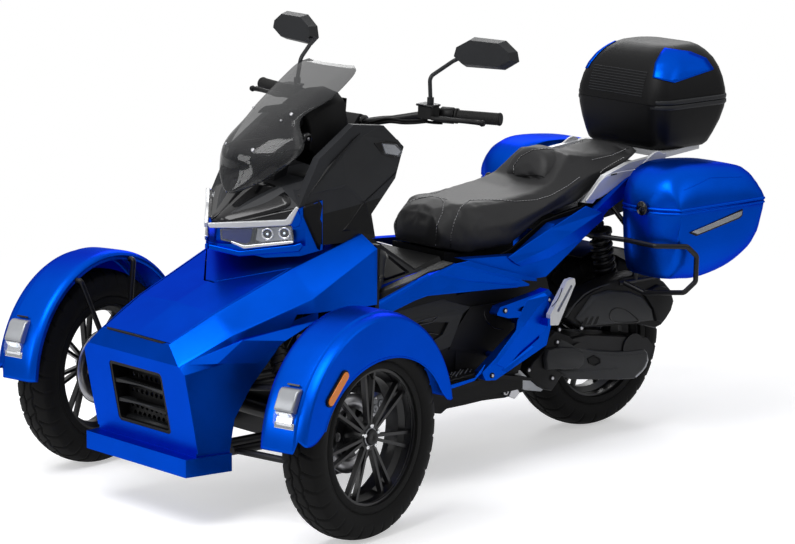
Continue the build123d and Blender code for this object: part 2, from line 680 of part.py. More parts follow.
def frame():
    """Welded tubes from the front bulkheads to the tail, with the head tube and brackets."""
    top = TRUNK[3] - GAP
    bulk = [(-190, 170), (190, 170), (190, top), (-190, top)]
    plates = [prism_x(bulk, BULK_X, BULK_X + 6), prism_x(bulk, -BULK_X - 6, -BULK_X)]
    pieces = list(plates)
    for s in (-1, 1):
        pieces += [
            rod((BULK_X + 3, s * 130, 196), (-BULK_X - 3, s * 130, 196), 14),
            rod((BULK_X + 3, s * 130, 376), (-BULK_X - 3, s * 130, 376), 14),
            tube([(-BULK_X, s * 150, 220), (-400, s * 160, 236), (-780, s * 160, 236), (-1000, s * 158, 300),
                  (-1060, s * 150, 500)], 17, 60),
            tube([(-BULK_X, s * 120, 380), (-300, s * 70, 560), (-560, s * 90, 470), (-700, s * 140, 430),
                  (-1060, s * 150, 500), (-1200, s * 120, 660), (TAIL_X, s * 90, 790)], TAIL_RAIL_R, 50),
            rod((0, s * 130, 376), (0, s * SHOCK_TOP[1], SHOCK_TOP[2]), 11),
            rod((-20, s * SHOCK_TOP[1], SHOCK_TOP[2]), (20, s * SHOCK_TOP[1], SHOCK_TOP[2]), 10),
            prism_y([(-930, 458), (-870, 458), (-870, 484), (-930, 484)], s * (BUCKET[2] + GAP), s * 142),
            prism_y([(-1330, 690), (-1310, 690), (-1310, 735), (-1330, 735)], s * 105, s * (TAIL_SIDE_Y - GAP)),
            prism_y([(-1200, 636), (-1175, 636), (-1175, 660), (-1200, 660)], s * 118, s * (TAIL_SIDE_Y - GAP)),
        ]
        for x0, x1 in ((EYE_HALF + GAP, 20), (-20, -EYE_HALF - GAP)):
            pieces.append(prism_x([(s * 180, 500), (s * 236, 498), (s * 236, 522), (s * 180, 540)], x0, x1))
    pieces.append(rod((-300, -74, 560), (-300, 74, 560), 14))
    pieces.append(rod((-400, -160, 236), (-400, 160, 236), 14))
    pieces.append(rod((-660, -160, 236), (-660, 160, 236), 14))
    pieces.append(rod((-1060, -150, 500), (-1060, 150, 500), 14))
    pieces.append(rod((-1400, -112, 712), (-1400, 112, 712), 12))
    pieces.append(rod((-1690, -92, 788), (-1690, 92, 788), 12))
    pieces.append(rod((-300, 0, 560), column_point(-190), 20))
    pieces.append(rod(column_point(-200), column_point(-70), 24))
    pieces += [rack_housing(), *guards()]
    body = fused(pieces)
    rack_x, rack_z = rack_axis()
    return body - [rod(column_point(-140), column_point(-60), STEM_R + GAP),
                   disc_y((rack_x, rack_z), -160, 160, ROD_R + GAP)]


BULK_X = 127.0
STEM_R = 15.0
SHOCK_TOP = (0.0, 196.0, 520.0)
EYE_HALF = 14.0           # half width of a shock's eye
SHOCK_FOOT_Y = 400.0
ARM_INNER_Y = 206.0
ARM_LOW_Z = FRONT_R - JOINT_UP - 10 - GAP - 8
ARM_TOP_Z = FRONT_R + JOINT_UP + 10 + GAP + 8


def suspension_arms():
    """Upper and lower wishbones: a pivot tube between the bulkheads, two legs and a ball joint."""
    arms = []
    for z, spread, pivot_z in [(ARM_LOW_Z, 112, 196), (ARM_TOP_Z, 84, 376)]:
        eye = (0, HALF_TRACK - KINGPIN_IN, z)
        up = 1 if z < FRONT_R else -1
        leg_end = (0, eye[1], z - up * 5)
        pieces = [
            rod((-BULK_X + GAP, ARM_INNER_Y, pivot_z), (BULK_X - GAP, ARM_INNER_Y, pivot_z), 13),
            rod((-spread, ARM_INNER_Y, pivot_z), leg_end, 10),
            rod((spread, ARM_INNER_Y, pivot_z), leg_end, 10),
            rod((0, eye[1], z - 8), (0, eye[1], z + 8), 19),
            rod((0, eye[1], z), (0, eye[1], z + up * 32), PIN_R),
        ]
        if up > 0:
            pieces.append(rod((-42, SHOCK_FOOT_Y, z + 5), (42, SHOCK_FOOT_Y, z + 5), 9))
            for x0, x1 in ((EYE_HALF + GAP, 20), (-20, -EYE_HALF - GAP)):
                pieces.append(prism_x([(388, z), (412, z), (410, z + 38), (390, z + 38)], x0, x1))
        arms.append(fused(pieces))
    return group(*[pair(a) for a in arms])


def coil_over(low, high, body_r, spring_r, turns, eye_axis):
    """Damper with its spring: ridged sleeve between two seats, and an eye at each end."""
    length = (Vector(*high) - Vector(*low)).length
    eye = 13.0
    z0, z1 = eye + 26, length - eye - 14
    pitch = (z1 - z0) / turns
    points = [(0, 0, eye - 2), (body_r, 0, eye - 2), (body_r, 0, z0 - 6), (spring_r, 0, z0 - 6), (spring_r, 0, z0)]
    for i in range(turns):
        z = z0 + i * pitch
        points += [(spring_r - 6, 0, z + 0.1), (spring_r - 6, 0, z + pitch * 0.4), (spring_r, 0, z + pitch * 0.45),
                   (spring_r, 0, z + pitch * 0.95)]
    points += [(spring_r - 6, 0, z1), (spring_r, 0, z1), (spring_r, 0, z1 + 6), (body_r * 0.6, 0, z1 + 6),
               (body_r * 0.6, 0, length - eye + 2), (0, 0, length - eye + 2)]
    shaft = revolve(face_of(points), axis=Axis.Z)
    plane = Plane(origin=low, z_dir=Vector(*high) - Vector(*low))
    shaft = plane.location * shaft
    ends = []
    for p in (low, high):
        a = Vector(*p) - Vector(*eye_axis) * EYE_HALF
        b = Vector(*p) + Vector(*eye_axis) * EYE_HALF
        ends.append(rod((a.X, a.Y, a.Z), (b.X, b.Y, b.Z), eye))
    return fused([shaft, *ends])


def front_shocks():
    low = (0.0, SHOCK_FOOT_Y, ARM_LOW_Z + 32)
    high = (0.0, SHOCK_TOP[1] + 28, SHOCK_TOP[2] - 10)
    return group(pair(coil_over(low, high, 15, 29, 13, (1, 0, 0))))


def rack_axis():
    """x and z of the rack bar, over the steering arms' ends at rest."""
    return -STEER_ARM * math.cos(math.radians(REST_STEER)), FRONT_R - RACK_DROP


def tie_rods():
    """Rack bar across the vehicle with an eye over each steering arm; it moves sideways."""
    shift = -STEER_ARM * math.sin(math.radians(REST_STEER))
    x, z = rack_axis()
    y = HALF_TRACK - KINGPIN_IN
    bar = rod((x, -y + shift, z), (x, y + shift, z), ROD_R)
    eyes = [rod((x, s * y + shift, z - ROD_R - 5 + GAP), (x, s * y + shift, z + ROD_R + 3), 14)
            for s in (-1, 1)]
    return fused([bar, *eyes])


def rack_housing():
    """Housing round the rack bar on a foot that runs to the rear bulkhead."""
    x, z = rack_axis()
    foot = prism_z([(x - 10, -120), (x - 10, 120), (-BULK_X - 1, 120), (-BULK_X - 1, -120)], z - 14, z + 14)
    return fused([disc_y((x, z), -150, 150, 24), foot])


def shocks():
    return group(front_shocks(), rear_shocks())


# Engine and drive

CVT_IN = 92.0
CVT_OUT = 214.0


def engine():
    """Crankcase and cylinder as one block, with fins on the cylinder."""
    case = prism_y([(-850, 214), (-1130, 214), (-1150, 300), (-1120, 420), (-960, 440), (-850, 380)],
                   -120, CVT_IN - 6, radius=18)
    cylinder = prism_y([(-700, 262), (-850, 262), (-850, 372), (-700, 352)], -70, 70)
    fins = [prism_y([(x, 254), (x - 6, 254), (x - 6, 382), (x, 382)], -84, 84) for x in range(-720, -840, -16)]
    hanger = prism_y([(-1030, 410), (-1104, 404), (-1076, 486 - GAP), (-1044, 486 - GAP)], -60, 60)
    return fused([case, cylinder, hanger, *fins, swing_arm()])


def drive_case():
    """Belt drive housing on the left, with the gear case that carries the rear axle."""
    outline = [(-1100, 334), (-1250, 344), (-1517, 300), (-1545, 268), (-1525, 224), (-1410, 196),
               (-1112, 232), (-1085, 270)]
    case = prism_y(outline, CVT_IN, CVT_OUT - 18, radius=14)
    cover = prism_y([(x * 0.985 - 19, z * 0.97 + 8) for x, z in outline], CVT_OUT - 19, CVT_OUT, radius=12)
    boss = disc_y((-1210, 285), CVT_OUT - 2, CVT_OUT + 8, 40)
    tail = disc_y((-WHEELBASE, REAR_R), CVT_OUT - 2, CVT_OUT + 5, 46)
    neck = prism_y([(-1040, 250), (-1110, 250), (-1110, 330), (-1040, 330)], CVT_IN, CVT_IN + 60)
    gear = disc_y((-WHEELBASE, REAR_R), REAR_HUB_OUT + 6, CVT_IN + 2, 52)
    axle = rod((-WHEELBASE, CVT_IN + 1, REAR_R), (-WHEELBASE, -ARM_RIGHT_Y + 1, REAR_R), AXLE_R)
    ear = prism_y([(-1435, 300), (-1475, 300), (-1468, 352), (-1442, 352)], CVT_IN, CVT_IN + 34)
    return fused([case, cover, boss, tail, neck, gear, axle, ear])


ARM_RIGHT_Y = 96.0


def swing_arm():
    """Right-hand arm from the crankcase to the rear axle."""
    side = [(-1100, 330), (-1160, 330), (-1480, 300), (-1480, 250), (-1160, 240), (-1100, 240)]
    arm = prism_y(side, -ARM_RIGHT_Y - 24, -ARM_RIGHT_Y, radius=10)
    return arm - disc_y((-WHEELBASE, REAR_R), -130, 0, AXLE_R + GAP)


def air_box():
    """Filter housing above the drive case."""
    side = [(-1206, 388), (-1290, 446), (-1404, 480), (-1560, 462), (-1625, 425), (-1620, 380), (-1564, 328),
            (-1500, 344), (-1257, 364)]
    box = prism_y(side, 150, 224, radius=12)
    dome = prism_y([(-1250, 392), (-1320, 440), (-1420, 460), (-1540, 440), (-1570, 390), (-1500, 368),
                    (-1290, 378)], 223, 240, radius=12)
    foot = prism_y([(-1330, 331.2), (-1370, 324.6), (-1370, 372), (-1330, 372)], 160, 190)
    return fused([box, dome, foot])


EXHAUST_IN = 134.0        # inner side of the silencer


def exhaust():
    """Silencer on the right with its header under the engine."""
    body = prism_y([(-1190, 268), (-1640, 330), (-1640, 430), (-1200, 352)], -230, -EXHAUST_IN, radius=24)
    header = tube([(-776, -40, 254 - GAP), (-776, -40, 180), (-980, -70, 176), (-1140, -178, 200),
                   (-1200, -178, 300)], 18, 36)
    tip = rod((-1636, -178, 376), (-1672, -178, 382), 20)
    stay = prism_y([(-1380, 280), (-1420, 280), (-1420, 340), (-1380, 340)], -EXHAUST_IN - 4,
                   -ARM_RIGHT_Y - 24 - GAP)
    return fused([body, header, tip, stay])


SHOCK_LOW = (-1455.0, 118.0, 365.0)
SHOCK_HIGH = (-1385.0, 118.0, 660.0)


def rear_shocks():
    shock = coil_over(SHOCK_LOW, SHOCK_HIGH, 14, 26, 12, (0, 1, 0))
    return group(pair(shock))


def rear_mudguard():
    """Inner mudguard over the rear wheel, with the flap and the blank plate's holder."""
    inner = REAR_R + 18
    outer = inner + 4
    profile = face_of([(inner, -84, 0), (outer, -84, 0), (outer, 84, 0), (inner, 84, 0)])
    arc = revolve(profile, axis=FORE_UP, revolution_arc=95).rotate(FORE_UP, 70)
    arc = arc.moved(Location(REAR))
    left = prism_y([(-1470, 332), (-1440, 332), (-1440, 570), (-1470, 570)], 80, 86)
    foot = prism_y([(-1470, 332), (-1440, 332), (-1440, 350), (-1470, 350)], 80, CVT_IN - GAP)
    right = prism_y([(-1465, 289), (-1435, 289), (-1435, 570), (-1465, 570)], -86, -80)
    shoe = prism_y([(-1465, 289), (-1435, 289), (-1435, 302), (-1465, 302)], -ARM_RIGHT_Y + GAP, -80)
    return fused([arc, left, foot, right, shoe])


TAIL_X = -1700.0
TAIL_RAIL = ((-1200, 120, 660), (TAIL_X, 90, 790))
TAIL_RAIL_R = 15.0


def tail_rails(radius):
    return [rod((x0, s * y0, z0), (x1, s * y1, z1), radius)
            for (x0, y0, z0), (x1, y1, z1) in [TAIL_RAIL] for s in (-1, 1)]


def tail_lamp():
    """Red lamp bar across the tail's end."""
    return prism_x([(-120, 716), (120, 716), (100, 768), (-100, 768)], TAIL_X - 38, TAIL_X - 12, radius=8)


def tail_unit():
    """Undertail between the frame's rails, closed at the rear, with the blank plate's bracket."""
    under = skin([
        [(-1240, y, z) for y, z in both([(78, 700), (78, 640)])],
        [(TAIL_X, y, z) for y, z in both([(70, 770), (64, 690)])],
    ])
    cap = prism_x([(-140, 694), (140, 694), (118, 800), (-118, 800)], TAIL_X - 12 + GAP, TAIL_X - 3)
    link = prism_x([(-50, 696), (50, 696), (50, 760), (-50, 760)], TAIL_X - 4, TAIL_X + 1)
    plate = prism_x([(-105, 500), (105, 500), (105, 650), (-105, 650)], TAIL_X - 54, TAIL_X - 50)
    neck = prism_y([(TAIL_X - 51, 610), (TAIL_X - 51, 646), (TAIL_X - 4, 712), (TAIL_X - 11, 694)], -36, 36)
    holes = [rod((TAIL_X - 60, y, 575), (TAIL_X - 40, y, 575), 3.5) for y in (-70, 70)]
    tub = fused([under, cap, link, plate, neck]) - holes
    return tub - rod((-1400, -112, 712), (-1400, 112, 712), 12 + GAP) - tail_rails(TAIL_RAIL_R + GAP)


# Cases

TOP_X = (-1893.0, -1565.0)
TOP_HALF = 197.0
TOP_FLOOR = 868.0
TOP_RIM = 1014.0
TOP_CROWN = 1186.0


def rectangle_at(x0, x1, half, z, radius):
    return rounded(face_of([(x0, -half, z), (x1, -half, z), (x1, half, z), (x0, half, z)]), radius)


def case_loft(sections):
    """Loft of rounded rectangles: rear x, front x, half width, height, corner radius."""
    return loft([rectangle_at(*s) for s in sections], ruled=True)


def top_box_base():
    rear, front = TOP_X
    outer = case_loft([(rear + 62, front - 30, TOP_HALF - 34, TOP_FLOOR, 50),
                       (rear, front, TOP_HALF, TOP_RIM, 60)])
    w = WALL
    inner = case_loft([(rear + 62 + w, front - 30 - w, TOP_HALF - 34 - w, TOP_FLOOR + w, 46),
                       (rear + w, front - w, TOP_HALF - w, TOP_RIM + 1, 56)])
    return outer - inner


def top_box_lid():
    rear, front = TOP_X
    z0 = TOP_RIM + GAP
    knee = z0 + (TOP_CROWN - z0) * 0.56
    w = WALL
    outer = case_loft([(rear, front, TOP_HALF, z0, 60), (rear + 14, front - 22, TOP_HALF - 16, knee, 60),
                       (rear + 60, front - 70, TOP_HALF - 66, TOP_CROWN, 50)])
    inner = case_loft([(rear + w, front - w, TOP_HALF - w, z0 - 1, 56),
                       (rear + 14 + w, front - 22 - w, TOP_HALF - 16 - w, knee - 1, 56),
                       (rear + 60 + w, front - 70 - w, TOP_HALF - 66 - w, TOP_CROWN - w, 46)])
    return outer - inner


def rear_rack():
    """Silver grab rails and the plate under the top box."""
    side = [(-1262, 748), (-1340, 822), (-1440, 852), (-1600, 866), (-1600, 848), (-1455, 830), (-1360, 800),
            (-1290, 744)]
    rails = [prism_y(side, s * 182 - 10, s * 182 + 10) for s in (-1, 1)]
    plate = prism_z([(-1590, -192), (-1590, 192), (-1815, 130), (-1815, -130)], 852, TOP_FLOOR - GAP, radius=10)
    post = [rod((-1655, s * 93, 780), (-1655, s * 93, 856), 10) for s in (-1, 1)]
    return fused([*rails, plate, *post]) - tail_rails(TAIL_RAIL_R + GAP)


PAN_INNER = 236.0
PAN_OUTER = 448.0
PAN_RIM = 736.0


def pannier_space(inset):
    """Solid of a pannier, base and lid together, on the left."""
    w = inset
    side = [(-1352 - w, 4), (-1358 - w, -80), (-1382 - w, -196 + w), (-1410, -214 + w), (-1549, -226 + w),
            (-1669, -198 + w), (-1760 + w, -146 + w), (-1780 + w, -60), (-1786 + w, 4), (-1782 + w, 56),
            (-1736, 98 - w), (-1640, 120 - w), (-1500, 128 - w), (-1424, 112 - w), (-1378 - w, 70)]
    block = prism_y([(x, PAN_RIM + z) for x, z in side], PAN_INNER + w, PAN_OUTER + 22)
    cross = [(PAN_INNER + w, -268), (388 - w, -268), (436 - w, -108), (PAN_OUTER - w, -2),
             (PAN_OUTER - 14 - w, 52), (396 - w, 124 - w), (PAN_INNER + w, 124 - w)]
    plan = [(-1368 - w, PAN_INNER + w), (-1356 - w, 300), (-1370 - w, 396), (-1418 - w, PAN_OUTER + 1 - w),
            (-1730, PAN_OUTER + 1 - w), (-1790 + w, 400), (-1790 + w, PAN_INNER + w)]
    return block & prism_x([(y, PAN_RIM + z) for y, z in cross], -1840, -1210) & prism_z(plan, 400, 900)


def pannier_base():
    shell = pannier_space(0) - pannier_space(WALL)
    return shell & prism_z([(-1900, 200), (-1200, 200), (-1200, 480), (-1900, 480)], PAN_RIM - 268,
                           PAN_RIM - GAP)


def pannier_lid():
    shell = pannier_space(0) - pannier_space(WALL)
    return shell & prism_z([(-1900, 200), (-1200, 200), (-1200, 480), (-1900, 480)], PAN_RIM, PAN_RIM + 150)


def guards():
    """Tubes that carry each pannier and wrap its lower front, welded to the frame."""
    seat_y = PAN_INNER - 8 - GAP
    left = tube([(-1215, 116, 662), (-1290, 200, 646), (-1334, 290, 640), (-1338, 414, 638), (-1422, 466, 634),
                 (-1464, 466, 600), (-1466, 462, 520), (-1440, 440, 486), (-1410, 300, 468), (-1390, seat_y, 492)],
                8, 16)
    arm = tube([(-1440, 104, 722), (-1440, 196, 650), (-1440, seat_y, 560), (-1440, seat_y, 492)], 8, 25)
    foot = rod((-1370, seat_y, 492), (-1560, seat_y, 492), 8)
    return pair(fused([left, arm, foot]))


# Pegs

PEG_FOOT = (-1010.0, 316.0, 436.0)
PEG_FRONT = 18.0          # foot's front face ahead of the hinge point
PEG_PIN_R = 5.0


def peg():
    """Folding passenger peg, stored up against the side."""
    x, y, z = PEG_FOOT
    side = [(x + PEG_FRONT, z - 10), (x + PEG_FRONT, z + 22), (x - 52, z + 118), (x - 80, z + 122), (x - 84, z + 104),
            (x - 16, z - 14)]
    blade = prism_y(side, y - 9, y + 9, radius=5)
    slot = prism_y([(x - 8, z + 30), (x - 66, z + 104), (x - 72, z + 98), (x - 18, z + 26)], y - 10, y + 10)
    return blade - slot - rod((x + PEG_FRONT + 1, y, z), (x - 9, y, z), PEG_PIN_R + GAP)


# Steering bar


def rest_turned(shape):
    return shape.rotate(Axis(column_point(0), tuple(column_axis())), REST_STEER)


def handlebar():
    stem = rod(column_point(-138), column_point(4), STEM_R)
    clamp = prism_y([(COLUMN_X + 30, COLUMN_Z - 14), (COLUMN_X - 36, COLUMN_Z - 14),
                     (COLUMN_X - 60, COLUMN_Z + 30), (COLUMN_X - 30, COLUMN_Z + 40)], -45, 45, radius=6)
    x, y, z = BAR_END
    bar = tube([(x, y, z), (-565, 230, z - 2), (-510, 110, COLUMN_Z + 24), (COLUMN_X - 46, 60, COLUMN_Z + 14),
                (COLUMN_X - 46, -60, COLUMN_Z + 14), (-510, -110, COLUMN_Z + 24), (-565, -230, z - 2),
                (x, -y, z)], BAR_R, 28)
    return rest_turned(fused([stem, clamp, bar]))


def bar_point(share):
    """Point on the straight left end of the bar: 0 at its inner end, 1 at the tip."""
    x, y, z = BAR_END
    return (-565 + (x + 565) * share, 230 + (y - 230) * share, z - 2 + 2 * share)


def hand_controls():
    """Grips, switch boxes, reservoirs and levers."""
    grip = rod(bar_point(0.40), bar_point(1.02), GRIP_R)
    switch = rod(bar_point(0.18), bar_point(0.37), 22)
    perch = rod(bar_point(0.05), bar_point(0.15), 19)
    px, py, pz = bar_point(0.08)
    tank = prism_z([(px + 16, py - 22), (px + 16, py + 34), (px + 58, py + 30), (px + 58, py - 20)],
                   pz - 6, pz + 30, radius=8)
    tx, ty, tz = bar_point(0.98)
    lever = tube([(px + 30, py + 10, pz), (px + 62, py + 40, pz - 2), (tx + 60, ty - 20, tz - 4)], 6, 20)
    lever = fused([perch, tank, lever])
    bore = rod(bar_point(-0.2), bar_point(1.003), BAR_R + GAP)
    parts = [grip - bore, switch - bore, lever - bore]
    return rest_turned(group(*[pair(p) for p in parts]))


MIRROR = [(0, -22), (30, -48), (150, -46), (192, -18), (186, 10), (150, 40), (52, 42), (8, 12)]


def mirrors():
    """Mirror heads on bent stalks; the glass is a recess in the rear face."""
    head_at = (-662, 256, 1272)
    rows = [[(head_at[0] - 0.22 * y, head_at[1] + y, head_at[2] + z) for y, z in MIRROR],
            [(head_at[0] + 34 - 0.22 * y * 0.9 - 3, head_at[1] + 10 + y * 0.9, head_at[2] + 3 + z * 0.8)
             for y, z in MIRROR]]
    head = skin(rows)
    x, y, z = bar_point(0.08)
    base = rod((x + 20, y, z + 30 + GAP), (x + 20, y, z + 52), 10)
    stalk = tube([(x + 20, y, z + 44), (x + 16, y - 8, z + 110), (-640, 262, 1244), (-650, 300, 1262)], 6, 24)
    return rest_turned(group(pair(fused([base, stalk, head]))))


# Assembly


def corner_left(shape):
    """A front corner's piece, turned about the kingpin and set at the left wheel."""
    pin = Axis((0, -KINGPIN_IN, 0), (0, 0, 1))
    return shape.rotate(pin, REST_STEER).moved(Location(FRONT))


def corner_right(shape):
    pin = Axis((0, KINGPIN_IN, 0), (0, 0, 1))
    x, y, z = FRONT
    return mirrored(shape).rotate(pin, REST_STEER).moved(Location((x, -y, z)))


def nodes():
    result = {
        "frame": frame(),
        "suspension_arms": suspension_arms(),
        "shocks": shocks(),
        "tie_rods": tie_rods(),
        "nose_shell": nose_shell(),
        "hood_lid": hood_lid(),
        "front_trunk": front_trunk(),
        "nose_grille": grille(),
        "headlamp_housing": headlamp(),
        "headlamp_lens": headlamp_lens(),
        "front_cowl": front_cowl(),
        "windshield": windshield(),
        "leg_shield": leg_shield(),
        "floorboards": floorboards(),
        "side_beams": side_beams(),
        "side_braces": side_braces(),
        "tail_panels": tail_panels(),
        "tail_unit": tail_unit(),
        "tail_lamp": tail_lamp(),
        "seat": seat(),
        "seat_bucket": seat_bucket(),
        "rear_rack": rear_rack(),
        "top_box_base": top_box_base(),
        "top_box_lid": top_box_lid(),
        "pannier_bases": group(pair(pannier_base())),
        "pannier_lid_left": pannier_lid(),
        "pannier_lid_right": mirrored(pannier_lid()),
        "engine": engine(),
        "drive_case": drive_case(),
        "air_box": air_box(),
        "exhaust": exhaust(),
        "rear_mudguard": rear_mudguard(),
        "peg_left": peg(),
        "peg_right": mirrored(peg()),
        "handlebar": handlebar(),
        "hand_controls": hand_controls(),
        "mirrors": mirrors(),
    }
    for side, place in (("left", corner_left), ("right", corner_right)):
        for name, shape in front_wheel().items():
            result[f"front_{name}_{side}"] = place(shape)
        result[f"knuckle_{side}"] = place(knuckle())
        result[f"fender_{side}"] = place(fender())
        result[f"fender_lamp_{side}"] = place(fender_lamp())
    for name, shape in rear_wheel().items():
        result[f"rear_{name}"] = shape.moved(Location(REAR))
    return result


def main():
    os.makedirs("parts", exist_ok=True)
    forward = Location((AXLE_X, 0, 0))
    for name, shape in nodes().items():
        solids = [solid.moved(forward) for solid in shape.solids()]
        export_step(Compound(children=solids) if len(solids) > 1 else solids[0], f"parts/{name}.step")


main()
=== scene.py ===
"""Dresses the motorized trike for rendering: shapes, materials, floor, light and camera, in metres."""
from math import atan2, cos, dist, pi, radians, sin, sqrt

import bmesh
import bpy
from mathutils import Matrix, Vector


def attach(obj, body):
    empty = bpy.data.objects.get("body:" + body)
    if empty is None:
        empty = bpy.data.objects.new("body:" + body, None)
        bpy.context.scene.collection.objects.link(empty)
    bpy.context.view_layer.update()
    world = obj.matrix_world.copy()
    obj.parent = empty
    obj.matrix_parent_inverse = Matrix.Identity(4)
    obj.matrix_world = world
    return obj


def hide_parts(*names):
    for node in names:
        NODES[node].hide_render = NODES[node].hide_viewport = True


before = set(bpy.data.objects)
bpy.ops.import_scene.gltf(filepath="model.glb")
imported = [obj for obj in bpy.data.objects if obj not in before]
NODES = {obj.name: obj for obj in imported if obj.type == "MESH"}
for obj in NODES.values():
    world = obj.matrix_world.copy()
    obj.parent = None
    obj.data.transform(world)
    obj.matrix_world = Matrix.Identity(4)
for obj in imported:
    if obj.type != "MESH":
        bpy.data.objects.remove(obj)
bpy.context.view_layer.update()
AX = 0.758                # front axle ahead of the origin
REST = radians(12)   # the wheels' and bar's turn at rest
FRONT_AXLE = Vector((AX, 0.596, 0.292))
REAR_AXLE = Vector((AX - 1.45, 0, 0.275))
KINGPIN = 0.516
SIDES = ("left", "right")
AXIS = 0.0001             # a turned profile's radius where it meets its axis
shift = Matrix.Translation


def P(x, y, z):
    """Point in metres from millimetres ahead of the front axle, left of the middle and above the ground."""
    return Vector((x / 1000 + AX, y / 1000, z / 1000))


def linked(name, data):
    obj = bpy.data.objects.new(name, data)
    bpy.context.scene.collection.objects.link(obj)
    return obj


# Camera, light and floor


def make_camera():
    yaw, pitch, roll = 3.995, -0.193, 0.005
    d = Vector((cos(pitch) * cos(yaw), cos(pitch) * sin(yaw), sin(pitch)))
    r = d.cross(Vector((0, 0, 1))).normalized()
    u = r.cross(d)
    right = r * cos(roll) + u * sin(roll)
    up = -r * sin(roll) + u * cos(roll)
    cam = bpy.data.cameras.new("camera")
    cam.lens = 166.43
    cam.sensor_width = 36
    cam.clip_end = 100
    obj = linked("camera", cam)
    m = Matrix((right, up, -d)).transposed().to_4x4()
    m.translation = Vector((6.3965 + AX, 8.1001, 2.6802))
    obj.matrix_world = m
    bpy.context.scene.camera = obj
    bpy.context.view_layer.update()


def area_light(name, at, target, size, power):
    data = bpy.data.lights.new(name, "AREA")
    data.shape = "RECTANGLE"
    data.size, data.size_y = size
    data.energy = power
    obj = linked(name, data)
    obj.location = at
    obj.rotation_euler = (Vector(target) - Vector(at)).to_track_quat("-Z", "Y").to_euler()


def node(tree, kind, **values):
    """A shader node; values are its inputs by name, with _ for a space, or its own settings."""
    made = tree.nodes.new("ShaderNode" + kind)
    for key, value in values.items():
        if key.replace("_", " ") in made.inputs:
            made.inputs[key.replace("_", " ")].default_value = value
        else:
            setattr(made, key, value)
    return made


def wire(tree, *links):
    """Each link is a node, its output, the node fed and its input, by name or number."""
    for source, out, target, into in links:
        tree.links.new(source.outputs[out], target.inputs[into])


def bare_tree(data):
    data.use_nodes = True
    data.node_tree.nodes.clear()
    return data.node_tree


def make_world(ambient):
    """White to the camera and through glass, graded with height for soft light and for reflections."""
    world = bpy.data.worlds.new("studio")
    tree = bare_tree(world)
    out, path, sky = (node(tree, kind) for kind in ("OutputWorld", "LightPath", "TexCoord"))
    seen, height = node(tree, "Math", operation="MAXIMUM"), node(tree, "SeparateXYZ")
    gloss, mix = node(tree, "MixShader"), node(tree, "MixShader")
    soft, dim, white = (node(tree, "Background", Color=(1, 1, 1, 1), Strength=1.0) for _ in range(3))
    wire(tree, (sky, "Generated", height, 0))
    for shade, low, high in ((soft, ambient * 0.45, ambient * 1.5), (dim, 0.22, 1.0)):
        span = node(tree, "MapRange", From_Min=-0.05, From_Max=0.75, To_Min=low, To_Max=high)
        wire(tree, (height, "Z", span, "Value"), (span, 0, shade, "Strength"))
    wire(tree, (path, "Is Glossy Ray", gloss, 0), (soft, 0, gloss, 1), (dim, 0, gloss, 2),
         (path, "Is Camera Ray", seen, 0), (path, "Is Transmission Ray", seen, 1), (seen, 0, mix, 0),
         (gloss, 0, mix, 1), (white, 0, mix, 2), (mix, 0, out, 0))
    bpy.context.scene.world = world


def make_floor():
    """Lit floor that keeps the shadow near the object and turns to plain white away from it."""
    mat = bpy.data.materials.new("floor")
    tree = bare_tree(mat)
    out, path, here = (node(tree, kind) for kind in ("OutputMaterial", "LightPath", "NewGeometry"))
    seen, seen_too = (node(tree, "Math", operation="MAXIMUM") for _ in range(2))
    part, lift = (node(tree, "Math", operation="MULTIPLY") for _ in range(2))
    part.inputs[1].default_value, lift.inputs[1].default_value = 0.45, 0.46
    glow, white = (node(tree, "Emission", Color=(1, 1, 1, 1)) for _ in range(2))
    body = node(tree, "BsdfDiffuse", Color=(0.82, 0.82, 0.83, 1))
    add, blend = node(tree, "AddShader"), node(tree, "MixShader")
    reach = node(tree, "VectorMath", operation="LENGTH")
    fade = node(tree, "MapRange", interpolation_type="SMOOTHSTEP", From_Min=1.3, From_Max=3.6)
    far = node(tree, "MapRange", To_Min=0.3)
    wire(tree, (path, "Is Camera Ray", seen, 0), (path, "Is Glossy Ray", part, 0), (part, 0, seen, 1),
         (seen, 0, seen_too, 0), (path, "Is Transmission Ray", seen_too, 1), (seen_too, 0, lift, 0),
         (seen_too, 0, far, "Value"), (far, 0, white, "Strength"), (lift, 0, glow, "Strength"),
         (body, 0, add, 0), (glow, 0, add, 1), (here, "Position", reach, 0), (reach, "Value", fade, "Value"),
         (fade, 0, blend, 0), (add, 0, blend, 1), (white, 0, blend, 2), (blend, 0, out, 0))
    mesh = bpy.data.meshes.new("floor")
    s = 14
    mesh.from_pydata([(-s, -s, 0), (s, -s, 0), (s, s, 0), (-s, s, 0)], [], [(0, 1, 2, 3)])
    mesh.materials.append(mat)
    obj = linked("floor", mesh)
    obj.location = (0, 0, -0.0005)


bpy.context.scene.view_settings.view_transform = "Standard"
make_camera()
make_world(0.36)
make_floor()
area_light("key", (3.6, 0.9, 5.8), (0.1, 0.0, 0.5), (3.4, 3.4), 230)
area_light("side", (-3.4, 5.2, 3.6), (-0.2, 0, 0.5), (3.2, 2.2), 26)
area_light("front", (6.5, -1.4, 2.4), (0.3, 0, 0.5), (2.6, 2.2), 80)
area_light("back", (-4.5, -4.5, 4.2), (0, 0, 0.6), (3.5, 3.0), 110)


# Materials


def fresh(name, **inputs):
    """A new material, its node tree, its main shader and the place on the object."""
    mat = bpy.data.materials.new(name)
    mat.use_nodes = True
    shader = mat.node_tree.nodes["Principled BSDF"]
    for key, value in inputs.items():
        shader.inputs[key.replace("_", " ")].default_value = value
    return mat, mat.node_tree, shader, node(mat.node_tree, "TexCoord")


def bumps(tree, shader, source, out, strength, distance=0.001):
    bump = node(tree, "Bump", Strength=strength, Distance=distance)
    wire(tree, (source, out, bump, "Height"), (bump, 0, shader, "Normal"))


